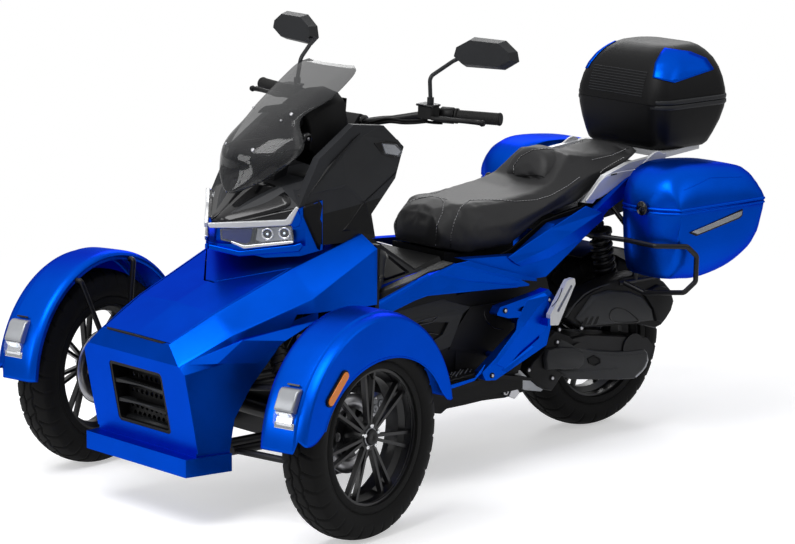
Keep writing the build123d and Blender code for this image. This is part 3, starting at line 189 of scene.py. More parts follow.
def grained(name, color, rough, grain=900, strength=0.25, metal=0.0, spread=0.06, coat=0.0, spec=0.5):
    """Colour that varies a little, roughness that varies and a fine grain in the normal."""
    mat, tree, shader, where = fresh(name, Metallic=metal, Coat_Weight=coat, Coat_Roughness=0.12,
                                     Specular_IOR_Level=spec)
    broad = node(tree, "TexNoise", Scale=7.0, Detail=3.0)
    fine = node(tree, "TexNoise", Scale=grain, Detail=2.0)
    ramp = node(tree, "ValToRGB")
    for stop, at, way in zip(ramp.color_ramp.elements, (0.35, 0.65), (-1, 1)):
        stop.position = at
        stop.color = (*(min(1.0, max(0.0, c * (1 + way * spread))) for c in color), 1)
    span = node(tree, "MapRange", To_Min=max(0.02, rough - 0.05), To_Max=min(1.0, rough + 0.05))
    wire(tree, (where, "Object", broad, "Vector"), (where, "Object", fine, "Vector"),
        (broad, "Fac", ramp, "Fac"), (ramp, 0, shader, "Base Color"), (broad, "Fac", span, "Value"),
        (span, 0, shader, "Roughness"))
    bumps(tree, shader, fine, "Fac", strength, 0.0006)
    return mat


def two_tone(name, top, below, across, level):
    """Two plastics in one moulding: `below` is the colour where x * across + z is under level, in metres."""
    mat = grained(name, top, 0.45, 700, 0.2, 0, 0.1, 0, 0.22)
    tree = mat.node_tree
    shader = tree.nodes["Principled BSDF"]
    where, under = node(tree, "TexCoord"), node(tree, "Math", operation="LESS_THAN")
    dot, mix = node(tree, "VectorMath", operation="DOT_PRODUCT"), node(tree, "Mix", data_type="RGBA")
    dot.inputs[1].default_value, under.inputs[1].default_value = (across, 0, 1), level
    mix.inputs[7].default_value = (*below, 1)
    wire(tree, (where, "Object", dot, 0), (dot, "Value", under, 0), (under, 0, mix, 0),
         (shader.inputs["Base Color"].links[0].from_node, 0, mix, 6), (mix, 2, shader, "Base Color"))
    return mat


def leather():
    mat, tree, shader, where = fresh("seat_leather", Roughness=0.5, Specular_IOR_Level=0.35)
    cells = node(tree, "TexVoronoi", Scale=420.0, feature="F1")
    folds = node(tree, "TexNoise", Scale=60.0, Detail=6.0)
    broad = node(tree, "TexNoise", Scale=9.0, Detail=3.0)
    ramp, add = node(tree, "ValToRGB"), node(tree, "Math", operation="ADD")
    ramp.color_ramp.elements[0].color = (0.010, 0.010, 0.011, 1)
    ramp.color_ramp.elements[1].color = (0.018, 0.018, 0.019, 1)
    wire(tree, *((where, "Object", tex, "Vector") for tex in (cells, folds, broad)),
        (broad, "Fac", ramp, "Fac"), (ramp, 0, shader, "Base Color"), (cells, "Distance", add, 0),
        (folds, "Fac", add, 1))
    bumps(tree, shader, add, 0, 0.22)
    return mat


def glassy(name, color, rough, alpha):
    mat = grained(name, color, rough, 500, 0, 0, 0.04)
    mat.node_tree.nodes["Principled BSDF"].inputs["Alpha"].default_value = alpha
    return mat


def glowing(name, color, strength):
    mat, tree, shader, where = fresh(name, Base_Color=(*color, 1), Roughness=0.15, Emission_Color=(*color, 1),
                                     Emission_Strength=strength)
    cells = node(tree, "TexVoronoi", Scale=180.0)
    wire(tree, (where, "Object", cells, "Vector"))
    bumps(tree, shader, cells, "Distance", 0.4)
    return mat


# Each has a name, colour and roughness, its grain's scale and strength, metal, the colour's spread, coat
# and specular level
PAINTS = {
    "blue": ("body_blue", (0.0005, 0.070, 0.56), 0.34, 2600, 0.05, 0.94, 0.05, 0, 0.1),
    "navy": ("lamp_navy", (0.0006, 0.012, 0.14), 0.25, 900, 0.03, 0.5, 0.1, 0, 0.15),
    "charcoal": ("charcoal_plastic", (0.015, 0.016, 0.018), 0.46, 700, 0.3, 0, 0.12, 0, 0.28),
    "black": ("black_plastic", (0.003, 0.003, 0.0035), 0.46, 800, 0.25, 0, 0.15, 0, 0.16),
    "gloss": ("gloss_black", (0.004, 0.004, 0.005), 0.14, 300, 0.02, 0, 0.1, 0.25, 0.3),
    "frame": ("frame_paint", (0.006, 0.006, 0.007), 0.38, 400, 0.06, 0, 0.15, 0, 0.3),
    "rim": ("rim_black", (0.005, 0.005, 0.006), 0.30, 500, 0.03, 0, 0.12, 0, 0.4),
    "rubber": ("tyre_rubber", (0.004, 0.004, 0.004), 0.68, 600, 0.25, 0, 0.2, 0, 0.14),
    "grip": ("grip_rubber", (0.008, 0.008, 0.008), 0.65, 900, 0.4, 0, 0.15, 0, 0.25),
    "steel": ("bright_steel", (0.50, 0.50, 0.52), 0.30, 300, 0.06, 1),
    "alloy": ("alloy", (0.33, 0.34, 0.36), 0.42, 260, 0.22, 0.85, 0.12),
    "dark_alloy": ("dark_alloy", (0.010, 0.010, 0.011), 0.40, 260, 0.25, 0.4, 0.15, 0, 0.3),
    "silver": ("rack_silver", (0.62, 0.63, 0.65), 0.32, 500, 0.04, 0.35, 0.03),
    "chrome": ("chrome", (0.80, 0.81, 0.83), 0.08, 200, 0.01, 1, 0.02),
    "exhaust": ("exhaust_black", (0.010, 0.010, 0.010), 0.46, 500, 0.15, 0.2, 0.2, 0, 0.25),
    "thread": ("seat_thread", (0.42, 0.42, 0.43), 0.7, 1500, 0.4, 0, 0.1),
}
M = {key: grained(*row) for key, row in PAINTS.items()}
M["blue"].node_tree.nodes["Principled BSDF"].inputs["Specular Tint"].default_value = (0.03, 0.32, 1.0, 1)
M["cowl"] = two_tone("cowl_plastic", (0.020, 0.021, 0.024), (0.003, 0.003, 0.003), 0.1126,
    0.8137 + 0.1126 * AX)
M["amber"] = glassy("lens_amber", (0.85, 0.23, 0.01), 0.15, 1.0)
M["red"] = glassy("lens_red", (0.45, 0.01, 0.01), 0.12, 1.0)
M["lens"] = glassy("lens_clear", (0.80, 0.85, 0.92), 0.04, 0.10)
M["smoke"] = glassy("screen_smoke", (0.020, 0.021, 0.023), 0.05, 0.62)
M["led"] = glowing("lamp_led", (0.80, 0.90, 1.0), 0.55)
M["leather"] = leather()


# Mesh helpers


def from_bm(name, bm, mat):
    """An object from a bmesh, which is freed."""
    mesh = bpy.data.meshes.new(name)
    bm.to_mesh(mesh)
    bm.free()
    mesh.materials.append(M[mat])
    return linked(name, mesh)


def modify(obj, kind, **values):
    mod = obj.modifiers.new(kind.lower(), kind)
    for key, value in values.items():
        setattr(mod, key, value)


def rounded(obj, width, degrees=30, segments=3, **values):
    modify(obj, "BEVEL", width=width, segments=segments, limit_method="ANGLE", angle_limit=radians(degrees),
           **values)


def sharpen(obj, degrees):
    obj.data.set_sharp_from_angle(angle=radians(degrees))


def place(obj, body, *nodes):
    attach(obj, body)
    if nodes:
        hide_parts(*nodes)


def from_faces(name, verts, faces, mat):
    mesh = bpy.data.meshes.new(name)
    mesh.from_pydata([tuple(v) for v in verts], [], faces)
    mesh.validate()
    mesh.materials.append(M[mat])
    mesh.shade_smooth()
    return linked(name, mesh)


def outward(obj):
    """Turns all faces of a mesh outward."""
    bm = bmesh.new()
    bm.from_mesh(obj.data)
    bmesh.ops.recalc_face_normals(bm, faces=bm.faces)
    bm.to_mesh(obj.data)
    bm.free()
    return obj


def skin(name, rings, mat, close_rows=False, close_cols=False, caps=False):
    """Faces between rings of equal length."""
    rows, cols = len(rings), len(rings[0])
    faces = []
    for i in range(rows - (0 if close_rows else 1)):
        for j in range(cols - (0 if close_cols else 1)):
            k, n = (i + 1) % rows * cols, (j + 1) % cols
            faces.append((i * cols + j, i * cols + n, k + n, k + j))
    if caps:
        faces += [tuple(reversed(range(cols))), tuple(range((rows - 1) * cols, rows * cols))]
    return outward(from_faces(name, [p for ring in rings for p in ring], faces, mat))


def loft(name, rings, mat, closed=True):
    """Skin through rings; closed rings get end caps."""
    return skin(name, rings, mat, close_cols=closed, caps=closed)


def lathe(name, profile, mat, steps=96):
    """Solid of revolution about the Y axis from (y, radius) points."""
    turns = [2 * pi * i / steps for i in range(steps)]
    return skin(name, [[Vector((r * cos(a), y, r * sin(a))) for y, r in profile] for a in turns], mat,
                True, True)


def spun(name, points, mat, steps, tip=None):
    """A lathe's solid that is closed at its axis, there as far out as its last point or as tip."""
    return lathe(name, [(points[0][0], AXIS), *points, (points[-1][0] if tip is None else tip, AXIS)], mat,
        steps)


def plate(name, outline, depth, mat, to_world, bevel=0.002):
    """Flat outline of (u, v) points extruded from depth[0] to depth[1]; to_world places (u, v, w)."""
    n = len(outline)
    verts = [to_world(u, v, w) for w in depth for u, v in outline]
    faces = [tuple(range(n)), tuple(reversed(range(n, 2 * n)))]
    faces += [(i, i + n, (i + 1) % n + n, (i + 1) % n) for i in range(n)]
    obj = outward(from_faces(name, verts, faces, mat))
    sharpen(obj, 30)
    if bevel:
        rounded(obj, bevel)
    return obj


def upright(u, v, w):
    return Vector((u, w, v))


def wire_curve(name, radius, resolution, mat):
    curve = bpy.data.curves.new(name, "CURVE")
    curve.dimensions = "3D"
    curve.bevel_depth = radius
    curve.bevel_resolution = resolution
    curve.use_fill_caps = True
    curve.materials.append(M[mat])
    return curve


def add_spline(curve, kind, points):
    spline = curve.splines.new(kind)
    spline.points.add(len(points) - 1)
    for p, co in zip(spline.points, points):
        p.co = (*co, 1)
    return spline


def pipe(name, points, radius, mat, smooth=True, resolution=6, cyclic=False):
    """Round bar along a smooth path of points."""
    curve = wire_curve(name, radius, resolution, mat)
    spline = add_spline(curve, "NURBS" if smooth else "POLY", points)
    if smooth:
        spline.order_u = 3
        spline.use_endpoint_u = not cyclic
        spline.resolution_u = 8
    spline.use_cyclic_u = cyclic
    return linked(name, curve)


def traced(name, obj, points, radius, mat, axis=1):
    """A round line on obj's outermost surface, as looked at along an axis."""
    path = []
    for a, b in zip(points, points[1:]):
        n = max(1, int((b - a).length / 0.012))
        path += [a.lerp(b, i / n) for i in range(n)]
    way = Vector((0, 0, 0))
    way[axis] = -1
    found = []
    for p in path + [points[-1].copy()]:
        p[axis] = 3.0
        hit, at, normal, face = obj.ray_cast(p, way)
        if hit:
            found.append(at)
    return pipe(name, found, radius, mat, resolution=2)


LENS_PX, MID_X, MID_Y = 3675.3, 397.5, 272.0     # the camera's lens and middle, in pixels of the photograph
EYE = bpy.context.scene.camera.matrix_world.translation.copy()
TURN = bpy.context.scene.camera.matrix_world.to_3x3()


def sight(spot):
    """The camera's direction through a pixel of the photograph."""
    return (TURN @ Vector(((spot[0] - MID_X) / LENS_PX, (MID_Y - spot[1]) / LENS_PX, -1))).normalized()


def at_side(spot, y):
    """The point behind a pixel on the upright plane y, in metres."""
    way = sight(spot)
    return EYE + way * ((y - EYE.y) / way.y)


def seen(obj, spots, lift=0.0):
    """A path on obj's own mesh behind a line of pixels."""
    path = []
    for a, b in zip(spots, spots[1:]):
        n = max(1, round(dist(a, b) / 2.5))
        path += [(a[0] + (b[0] - a[0]) * i / n, a[1] + (b[1] - a[1]) * i / n) for i in range(n)]
    hits = (obj.ray_cast(EYE, sight(spot)) for spot in path + [spots[-1]])
    return [at + normal * lift for hit, at, normal, face in hits if hit]


def joined(name, objs):
    """One mesh object from several, with their modifiers applied."""
    deps = bpy.context.evaluated_depsgraph_get()
    bm = bmesh.new()
    mats = []
    for o in objs:
        mesh = bpy.data.meshes.new_from_object(o.evaluated_get(deps))
        mesh.transform(o.matrix_world)
        mats += [m for m in mesh.materials if m not in mats]
        remap = [mats.index(m) for m in mesh.materials]
        start = len(bm.faces)
        bm.from_mesh(mesh)
        bm.faces.ensure_lookup_table()
        for f in bm.faces[start:]:
            f.material_index = remap[f.material_index] if remap else 0
        bpy.data.meshes.remove(mesh)
    mesh = bpy.data.meshes.new(name)
    bm.to_mesh(mesh)
    bm.free()
    for m in mats:
        mesh.materials.append(m)
    obj = linked(name, mesh)
    for o in objs:
        bpy.data.objects.remove(o)
    bpy.context.view_layer.update()
    return obj


def put(obj, at, turn=Matrix()):
    """Turns a mesh about the origin and then moves it."""
    obj.data.transform(shift(at) @ turn)
    return obj


def copied(obj, name, matrix, flip):
    """Copy of an object with its modifiers applied."""
    mesh = bpy.data.meshes.new_from_object(obj.evaluated_get(bpy.context.evaluated_depsgraph_get()))
    mesh.transform(matrix @ obj.matrix_world)
    if flip:
        mesh.flip_normals()
    return linked(name, mesh)


def mirrored(obj, name):
    return copied(obj, name, Matrix.Scale(-1, 4, (0, 1, 0)), True)


def both_sides(made, body="chassis"):
    """A left piece and its mirror image on one body."""
    twin = mirrored(made, made.name + "_right")
    place(joined(made.name + "_left", [made]), body)
    place(twin, body)


def towards(way):
    """The turn that brings the Y axis to a direction."""
    return Vector((0, 1, 0)).rotation_difference(Vector(way)).to_matrix().to_4x4()


# A front corner's own frame: about the wheel's centre, +y outboard; then turned about its kingpin


def to_corner(obj, name, side):
    sign = 1 if side == "left" else -1
    pin = shift((0, sign * -(0.596 - KINGPIN), 0))
    turn = pin @ Matrix.Rotation(REST, 4, "Z") @ pin.inverted()
    hub = shift((FRONT_AXLE.x, sign * FRONT_AXLE.y, FRONT_AXLE.z))
    return copied(obj, name, hub @ turn @ Matrix.Scale(sign, 4, (0, 1, 0)), side == "right")


COLUMN_AT = Vector((AX - 0.45, 0, 1.04))
COLUMN_DIR = Vector((-sin(radians(8)), 0, cos(radians(8))))
BAR_TURN = shift(COLUMN_AT) @ Matrix.Rotation(REST, 4, COLUMN_DIR) @ shift(-COLUMN_AT)


def arc_at(radius, degrees):
    a = radians(degrees)
    return radius * cos(a), radius * sin(a)


# Pieces placed by pixels of the photograph


def decal(name, obj, spots, mat, lift=0.0004, thick=0.0015, cuts=7, outside=0.0):
    """A thin plate on obj's surface whose outline is a polygon of pixels."""
    bm = bmesh.new()
    bm.faces.new([bm.verts.new((x, y, 0)) for x, y in spots])
    bmesh.ops.triangulate(bm, faces=bm.faces)
    bmesh.ops.subdivide_edges(bm, edges=bm.edges, cuts=cuts, use_grid_fill=True)
    lost = []
    for v in bm.verts:
        hit, at, normal, face = obj.ray_cast(EYE, sight(v.co))
        if hit and at.y > outside:
            v.co = at + normal * lift
        else:
            lost.append(v)
    bmesh.ops.delete(bm, geom=lost, context="VERTS")
    bmesh.ops.recalc_face_normals(bm, faces=bm.faces)
    for f in bm.faces:
        f.smooth = True
        if f.normal.dot(EYE - f.calc_center_median()) < 0:
            f.normal_flip()
    made = from_bm(name, bm, mat)
    modify(made, "SOLIDIFY", thickness=thick, offset=1)
    return made


def smooth_loop(points, per=4):
    """Closed Catmull-Rom curve through points."""
    n = len(points)
    out = []
    for i in range(n):
        p0, p1, p2, p3 = (Vector((*points[(i + k - 1) % n], 0)) for k in range(4))
        for j in range(per):
            t = j / per
            out.append(0.5 * ((2 * p1) + (p2 - p0) * t + (2 * p0 - 5 * p1 + 4 * p2 - p3) * t * t
                              + (3 * p1 - p0 - 3 * p2 + p3) * t ** 3))
    return out


def pixel_plate(name, spots, y, depth, mat, bevel=0.0015):
    """A plate on the upright plane y whose outline is a polygon of pixels; depth runs inward."""
    return plate(name, [at_side(s, y).xz for s in spots], (y - depth, y), mat, upright, bevel)


def facets(name, spots, outs, faces, y, mat, root=0.001):
    """Folded panel on the upright plane y: pixels, how far each stands out in mm, and its faces."""
    bm = bmesh.new()
    verts = []
    for spot, out in zip(spots, outs):
        at = at_side(spot, y)
        verts.append(bm.verts.new((at.x, y + out / 1000, at.z)))
    made = [bm.faces.new([verts[i] for i in face]) for face in faces]
    for f in made:
        f.normal_update()
        if f.normal.y < 0:
            f.normal_flip()
    for v in bmesh.ops.extrude_edge_only(bm, edges=[e for e in bm.edges if e.is_boundary])["geom"]:
        if isinstance(v, bmesh.types.BMVert):
            v.co.y = y - root
    bmesh.ops.recalc_face_normals(bm, faces=bm.faces)
    if made[0].normal.y < 0:
        bmesh.ops.reverse_faces(bm, faces=bm.faces)
    obj = from_bm(name, bm, mat)
    rounded(obj, 0.001, 12, 2)
    return obj


def side_line(name, spots, y, radius, mat):
    """A round line on the upright plane y through pixels."""
    return pipe(name, [at_side(s, y) for s in spots], radius, mat, smooth=False, resolution=2)


def bolt(name, at, size=0.0085):
    """A dark washer and a bright head that face outward."""
    washer = spun("washer", [(0, size), (0.002, size), (0.0026, size * 0.8)], "black", 24)
    head = spun("head", [(0.002, size * 0.62), (0.0048, size * 0.5), (0.0055, size * 0.25)], "steel", 24,
        0.0056)
    return put(joined(name, [washer, head]), at)


def stack(name, spots, levels, y, mat, per=1):
    """Rounded cover: the pixel outline at each (out in mm, scale about its middle), with a flat face."""
    pts = [at_side(s, y) for s in spots]
    if per > 1:
        pts = [Vector((p.x, 0, p.y)) for p in smooth_loop([p.xz for p in pts], per)]
    mid = sum(pts, Vector()) / len(pts)
    rings = [[Vector((mid.x + (p.x - mid.x) * k, y + out / 1000, mid.z + (p.z - mid.z) * k)) for p in pts]
             for out, k in levels]
    made = loft(name, rings, mat)
    sharpen(made, 32)
    return made


def folded(name, obj, spots, outs, faces, mat, bevel=0.001):
    """Folded panel on obj's own surface: pixels, how far each stands off it in mm, and its faces."""
    bm = bmesh.new()
    verts, feet = [], {}
    for spot, out in zip(spots, outs):
        hit, at, normal, face = obj.ray_cast(EYE, sight(spot))
        if not hit:
            hit, at, normal, face = obj.closest_point_on_mesh(at_side(spot, 0.2))
        v = bm.verts.new(at + normal * out / 1000)
        feet[v] = at - normal * 0.0015
        verts.append(v)
    for face in faces:
        bm.faces.new([verts[i] for i in face])
    for e in [e for e in bm.edges if e.is_boundary]:
        a, b = e.verts
        if a in feet and b in feet:
            bm.faces.new([a, b, bm.verts.new(feet[b]), bm.verts.new(feet[a])])
    bmesh.ops.remove_doubles(bm, verts=bm.verts, dist=0.00001)
    bmesh.ops.recalc_face_normals(bm, faces=bm.faces)
    bm.faces.ensure_lookup_table()
    if bm.faces[0].normal.dot(sight(spots[0])) > 0:
        bmesh.ops.reverse_faces(bm, faces=bm.faces)
    made = from_bm(name, bm, mat)
    rounded(made, bevel, 12, 2)
    return made


# Wheels


def tyre(name, radius, width, lip, seat, pitches):
    """Tyre about the Y axis with two wavy ribs and slanted grooves cut into its crown."""
    half = width / 2
    wall = lip + 0.42 * (radius - lip)
    lean = radius - 0.10 * width
    bead = half - 0.012
    profile = [(-bead + 0.004, seat), (-bead - 0.006, seat + 0.002), (-bead - 0.008, lip),
        (-bead - 0.004, lip + 0.006)]
    for t in range(1, 6):
        a = radians(90 * t / 6)
        profile.append((-(bead + (half - bead) * sin(a)), lip + 0.006 + (wall - lip - 0.006) * (1 - cos(a))))
    for t in range(0, 4):
        f = t / 4
        profile.append((-(half - (half - 0.41 * width) * f * f), wall + (lean - wall) * f))
    crown = 46
    for i in range(crown + 1):
        y = -0.41 * width + 0.82 * width * i / crown
        profile.append((y, radius - (radius - lean) * abs(y / (0.41 * width)) ** 2.4))
    profile += [(-y, r) for y, r in reversed(profile[:13])]
    steps = 600
    rings = []
    for i in range(steps):
        a = 2 * pi * i / steps
        turn = pitches * a / (2 * pi)
        ring = []
        for y, r in profile:
            cut = 0.0
            side = abs(y) / half
            if r > wall + 0.2 * (lean - wall):
                rib = abs(side - 0.24 - 0.05 * sin(2 * pi * turn)) * half
                cut = max(cut, 1 - (rib / 0.0034) ** 2)
                if side > 0.30:
                    phase = turn + (0.5 if y > 0 else 0.0) + 1.15 * side - 0.5 * side * side
                    depth, wide = 1, 0.0032 + 0.002 * side
                else:
                    phase, depth, wide = turn + 0.9 * y / half, 0.6, 0.0024
                off = abs(phase - round(phase)) * 2 * pi * radius / pitches
                cut = max(cut, depth - (off / wide) ** 2)
            deep = 0.0048 * max(0, min(1, 1.6 * cut))
            ring.append((cos(a) * (r - deep), y, sin(a) * (r - deep)))
        rings.append(ring)
    obj = skin(name, rings, "rubber", True, True)
    sharpen(obj, 50)
    return obj


def ring_of(name, make, count, radius, start=0.0):
    """Copies of a small piece, made about the Y axis, set on a circle."""
    spots = (arc_at(radius, start + 360 * i / count) for i in range(count))
    return joined(name, [put(make(), (x, 0, z)) for x, z in spots])


def nut(y, size, height, mat="chrome"):
    made = lathe("nut", [(y, 0.0015), (y, size), (y + height * 0.8, size), (y + height, size * 0.8),
                         (y + height, 0.0015)], mat, 6)
    made.data.shade_flat()
    return made


def front_wheel_trim():
    rings = [lathe(*row) for row in (
        ("cap", [(0.0362, 0.001), (0.0362, 0.0225), (0.045, 0.0215), (0.0468, 0.0185), (0.0452, 0.012),
                 (0.0460, 0.001)], "dark_alloy", 48),
        ("band", [(0.0362, 0.0228), (0.0362, 0.0262), (0.0392, 0.0262), (0.0400, 0.0245), (0.0392, 0.0228)],
         "alloy", 48),
        ("lip", [(0.0480, 0.2015), (0.0492, 0.2035), (0.0502, 0.2035), (0.0502, 0.2005), (0.0488, 0.1995)],
         "gloss", 128),
        ("inner", [(0.0402, 0.1836), (0.0402, 0.1852), (0.0425, 0.1858), (0.0430, 0.1840)], "gloss", 128))]
    nuts = ring_of("nuts", lambda: nut(0.0362, 0.0062, 0.0085), 5, 0.0318, 90)
    stem = pipe("stem", [(0, 0.030, 0.186), (0, 0.037, 0.178), (0, 0.046, 0.163)], 0.0035, "rubber")
    faces = [lathe("disc", [(y - 0.0002, 0.070), (y - 0.0002, 0.1118), (y + 0.0002, 0.1118),
        (y + 0.0002, 0.070)], "steel") for y in (-0.0353, -0.0297)]
    return joined("front_wheel_trim", [*rings[:2], nuts, stem, *rings[2:], *faces])


def rear_wheel_trim():
    cap = lathe("cap", [(0.0442, 0.001), (0.0442, 0.030), (0.0495, 0.0285), (0.051, 0.012), (0.0505, 0.001)],
                "dark_alloy", 48)
    bolts = ring_of("bolts", lambda: nut(0.0442, 0.0052, 0.006, "steel"), 5, 0.036, 18)
    return joined("rear_wheel_trim", [cap, mirrored(cap, "cap_r"), bolts])


def caliper():
    outline = [(-0.0585, 0.0325), (-0.1295, 0.0325), (-0.1375, 0.0605), (-0.1130, 0.0980), (-0.0688, 0.0855)]
    parts = [plate("body", outline, (-0.0565, -0.0105), "alloy", upright, 0.004)]
    for x, z, r in ((-0.083, 0.058, 0.0125), (-0.108, 0.068, 0.0125)):
        parts.append(put(lathe("piston", [(-0.0105, 0.001), (-0.0105, r), (-0.0068, r - 0.001),
            (-0.0062, r - 0.004), (-0.0062, 0.001)], "alloy", 32), (x, 0, z)))
    for x, z in ((-0.070, 0.044), (-0.122, 0.050), (-0.088, 0.085)):
        parts.append(put(nut(-0.0105, 0.0045, 0.005, "steel"), (x, 0, z)))
    parts.append(pipe("hose", [(-0.100, -0.034, 0.094), (-0.098, -0.050, 0.112), (-0.070, -0.068, 0.118),
                               (-0.040, -0.078, 0.092), (-0.026, -0.076, 0.062)], 0.0032, "rubber"))
    return joined("caliper", parts)


# Front fenders and their lamps, in the corner's own frame


CROWN = [(-76, 328), (-76, 340), (-72, 346), (-66, 350), (-60, 352.4), (-54, 353.2), (-40, 353.4), (-20, 353),
         (0, 352.6), (20, 352), (34, 351.4), (41, 350.9), (44, 349.2), (47, 346.4), (53, 345.6), (61, 344.2),
         (68, 341.8), (73, 338.6), (76, 333)]
CROWN_START = [3] * 12 + [3.6, 5.5, 9, 8.2, 7.4, 6.8, 6.6]
SKIRT = (0.08, 0.25, 0.45, 0.65, 0.82, 0.93, 1.0)
OPENING = (-20, 282, 222)
LAMP_AT = 23                  # degrees up the crown


def opening_radius(a):
    """Distance from the wheel's centre to the oval wheel opening in direction a."""
    cx, p, q = OPENING
    c, s = cos(a), sin(a)
    k, m, n = c * c / (p * p) + s * s / (q * q), -2 * cx * c / (p * p), cx * cx / (p * p) - 1
    return (-m + sqrt(m * m - 4 * k * n)) / (2 * k)


def fender():
    def at(a, r, y):
        return Vector((r * cos(a), y, r * sin(a))) / 1000
    rings = []
    steps = 120
    for i in range(steps + 1):
        t = i / steps
        ring = [at(radians(first + (171 - first) * t), r, y) for (y, r), first in zip(CROWN, CROWN_START)]
        for f in SKIRT:
            first, last = 6.6 + 9 * f ** 3, 171 - 7 * f ** 3
            a = radians(first + (last - first) * t)
            ring.append(at(a, 333 + (opening_radius(a) - 333) * f, 76 - 1.5 * f))
        rings.append(ring)
    shell = loft("shell", rings, "blue", closed=False)
    if shell.data.polygons[0].normal.dot(shell.data.polygons[0].center) < 0:
        shell.data.flip_normals()
    sharpen(shell, 24)
    modify(shell, "SOLIDIFY", thickness=0.0045, offset=-1)
    edge = [at(a, opening_radius(a), 73) for a in (radians(d) for d in range(15, 163, 3))]
    return joined("fender", [shell, pipe("roll", edge, 0.0032, "blue")])


def on_lamp(u, v, w):
    """(along the crown, out of it, outboard) in millimetres to the corner's frame."""
    c, s = arc_at(1, LAMP_AT)
    return Vector(((351.3 + v) * c + u * s, w, (351.3 + v) * s - u * c)) / 1000


def fender_lamp():
    return joined("fender_lamp", [
        plate(name, outline, depth, mat, on_lamp, bevel) for name, outline, depth, mat, bevel in (
        ("box", [(-57, -4), (-51, 12), (-40, 19), (8, 22.6), (15, 20), (15, -2), (0, -1)], (-26, 38), "alloy",
         0.004),
        ("glass", [(15.5, -2), (15.5, 20), (30, 19.5), (48, 12.5), (57.5, -3)], (-24, 36), "lens", 0.003),
        ("bowl", [(16, -1), (16, 17.5), (19, 17.5), (27, 5), (44, 4), (52, -2)], (-21, 33), "chrome", 0.002),
        ("base", [(40, -3.5), (42, 1.5), (58, -2), (60, -7)], (-27, 39), "chrome", 0.001),
        ("led", [(20, 5), (20, 16), (23, 16), (30, 7)], (-8, 20), "led", 0.002),
        ("dark", [(-66, 0.2), (-66, 3.2), (-61, 3.4), (-61, 0.2)], (-14, 28), "gloss", 0.0005))])


def bar_outline(half_long, half_wide, steps=8):
    ends = ((half_long - half_wide, -90), (-half_long + half_wide, 90))
    turns = ((cx, arc_at(half_wide, start + 180 * i / steps)) for cx, start in ends for i in range(steps + 1))
    return [(cx + x, y) for cx, (x, y) in turns]


def side_reflector():
    c, s = arc_at(1, 137)

    def to(u, v, w):
        return Vector((199 + u * c - v * s, w, 177 + u * s + v * c)) / 1000
    return joined("side_reflector", [plate("back", bar_outline(60, 15.5), (74, 79.5), "black", to, 0.001),
                                     plate("face", bar_outline(55, 11.5), (79, 83.5), "amber", to, 0.0015)])


def both_corners(made, name, body, *nodes):
    """A corner's piece at both wheels; body and nodes are named without their side."""
    for side in SIDES:
        place(to_corner(made, name + side, side), body + side, *(node + side for node in nodes))
    bpy.data.objects.remove(made)


both_corners(tyre("front_tyre", 0.292, 0.124, 0.207, 0.1905, 34), "tyre_front_", "wheel_front_",
    "front_tyre_")
both_corners(front_wheel_trim(), "wheel_trim_", "wheel_front_")
place(put(tyre("tyre_rear", 0.275, 0.145, 0.195, 0.178, 30), REAR_AXLE), "wheel_rear", "rear_tyre")
place(put(rear_wheel_trim(), REAR_AXLE), "wheel_rear")
both_corners(caliper(), "caliper_", "knuckle_")
both_corners(fender(), "fender_", "knuckle_", "fender_")
both_corners(fender_lamp(), "fender_lamp_", "knuckle_", "fender_lamp_")
both_corners(side_reflector(), "side_reflector_", "knuckle_")


# Nose: fins, hood gap, grille slats


both_sides(folded("nose_fin", NODES["nose_shell"], [(179, 366), (240, 340), (298.5, 317.5), (281, 338),
    (252, 360.5), (215, 364)], [1, 12, 22, 28, 32, 16], [(0, 1, 4, 5), (1, 2, 3, 4)], "blue", 0.0018))
strip = from_faces("hood_gap", [P(311, -126, 518.4), P(311, 126, 518.4), P(303.6, 138, 522.2),
    P(303.6, -138, 522.2)], [(0, 1, 2, 3)], "black")
modify(strip, "SOLIDIFY", thickness=0.0012, offset=-1)
place(strip, "chassis")


def mouth_x(z):
    """The front face's x at a height, in millimetres ahead of the front axle."""
    return 268 + (z - 215) * 50 / 252


def slat(z, drop):
    """A blade across the mouth, thick at its ends and drawn to an edge at its front."""
    rings = []
    for y in (-117, -70, 0, 70, 117):
        thick = 4 + 8 * abs(y / 117) ** 1.5
        x = mouth_x(z) - 6 - 5 * (1 - abs(y) / 117)
        rings.append([P(x - back, y, z + thick * f - fall) for back, f, fall in
                      ((0, 0.2, 0), (34, 0.6, drop), (34, -0.6, drop), (0, -0.8, 0))])
    made = loft("slat", rings, "charcoal")
    sharpen(made, 30)
    rounded(made, 0.0012, 30, 2)
    return made


sill = loft("sill", [[P(mouth_x(256) - back, y, z) for back, z in ((3, 252), (40, 276), (44, 252))]
                     for y in (-117, 117)], "charcoal")
place(joined("grille_slats", [slat(374, 5), slat(316, 5), sill]), "chassis")


def softened(name, body, degrees=24, width=0.004):
    """The node's own shape with its shallow joints smoothed and its edges rounded."""
    bm = bmesh.new()
    bm.from_mesh(NODES[name].data)
    bmesh.ops.remove_doubles(bm, verts=bm.verts, dist=0.00005)
    bmesh.ops.dissolve_limit(bm, angle_limit=radians(0.4), verts=bm.verts, edges=bm.edges)
    made = from_bm(name + "_skin", bm, "blue")
    made.data.shade_smooth()
    made.matrix_world = NODES[name].matrix_world.copy()
    sharpen(made, degrees)
    rounded(made, width, degrees, harden_normals=True)
    place(joined(name + "_skin", [made]), body, name)


softened("nose_shell", "chassis")
softened("hood_lid", "hood")


# Headlamps: pieces on the prow's left face, then mirrored


def on_prow(s, z, w):
    """(millimetres along the face from its front edge, height, out of the face)."""
    return P(28 - 0.6353 * s + 0.7724 * w, 20 + 0.7724 * s + 0.6353 * w, z)


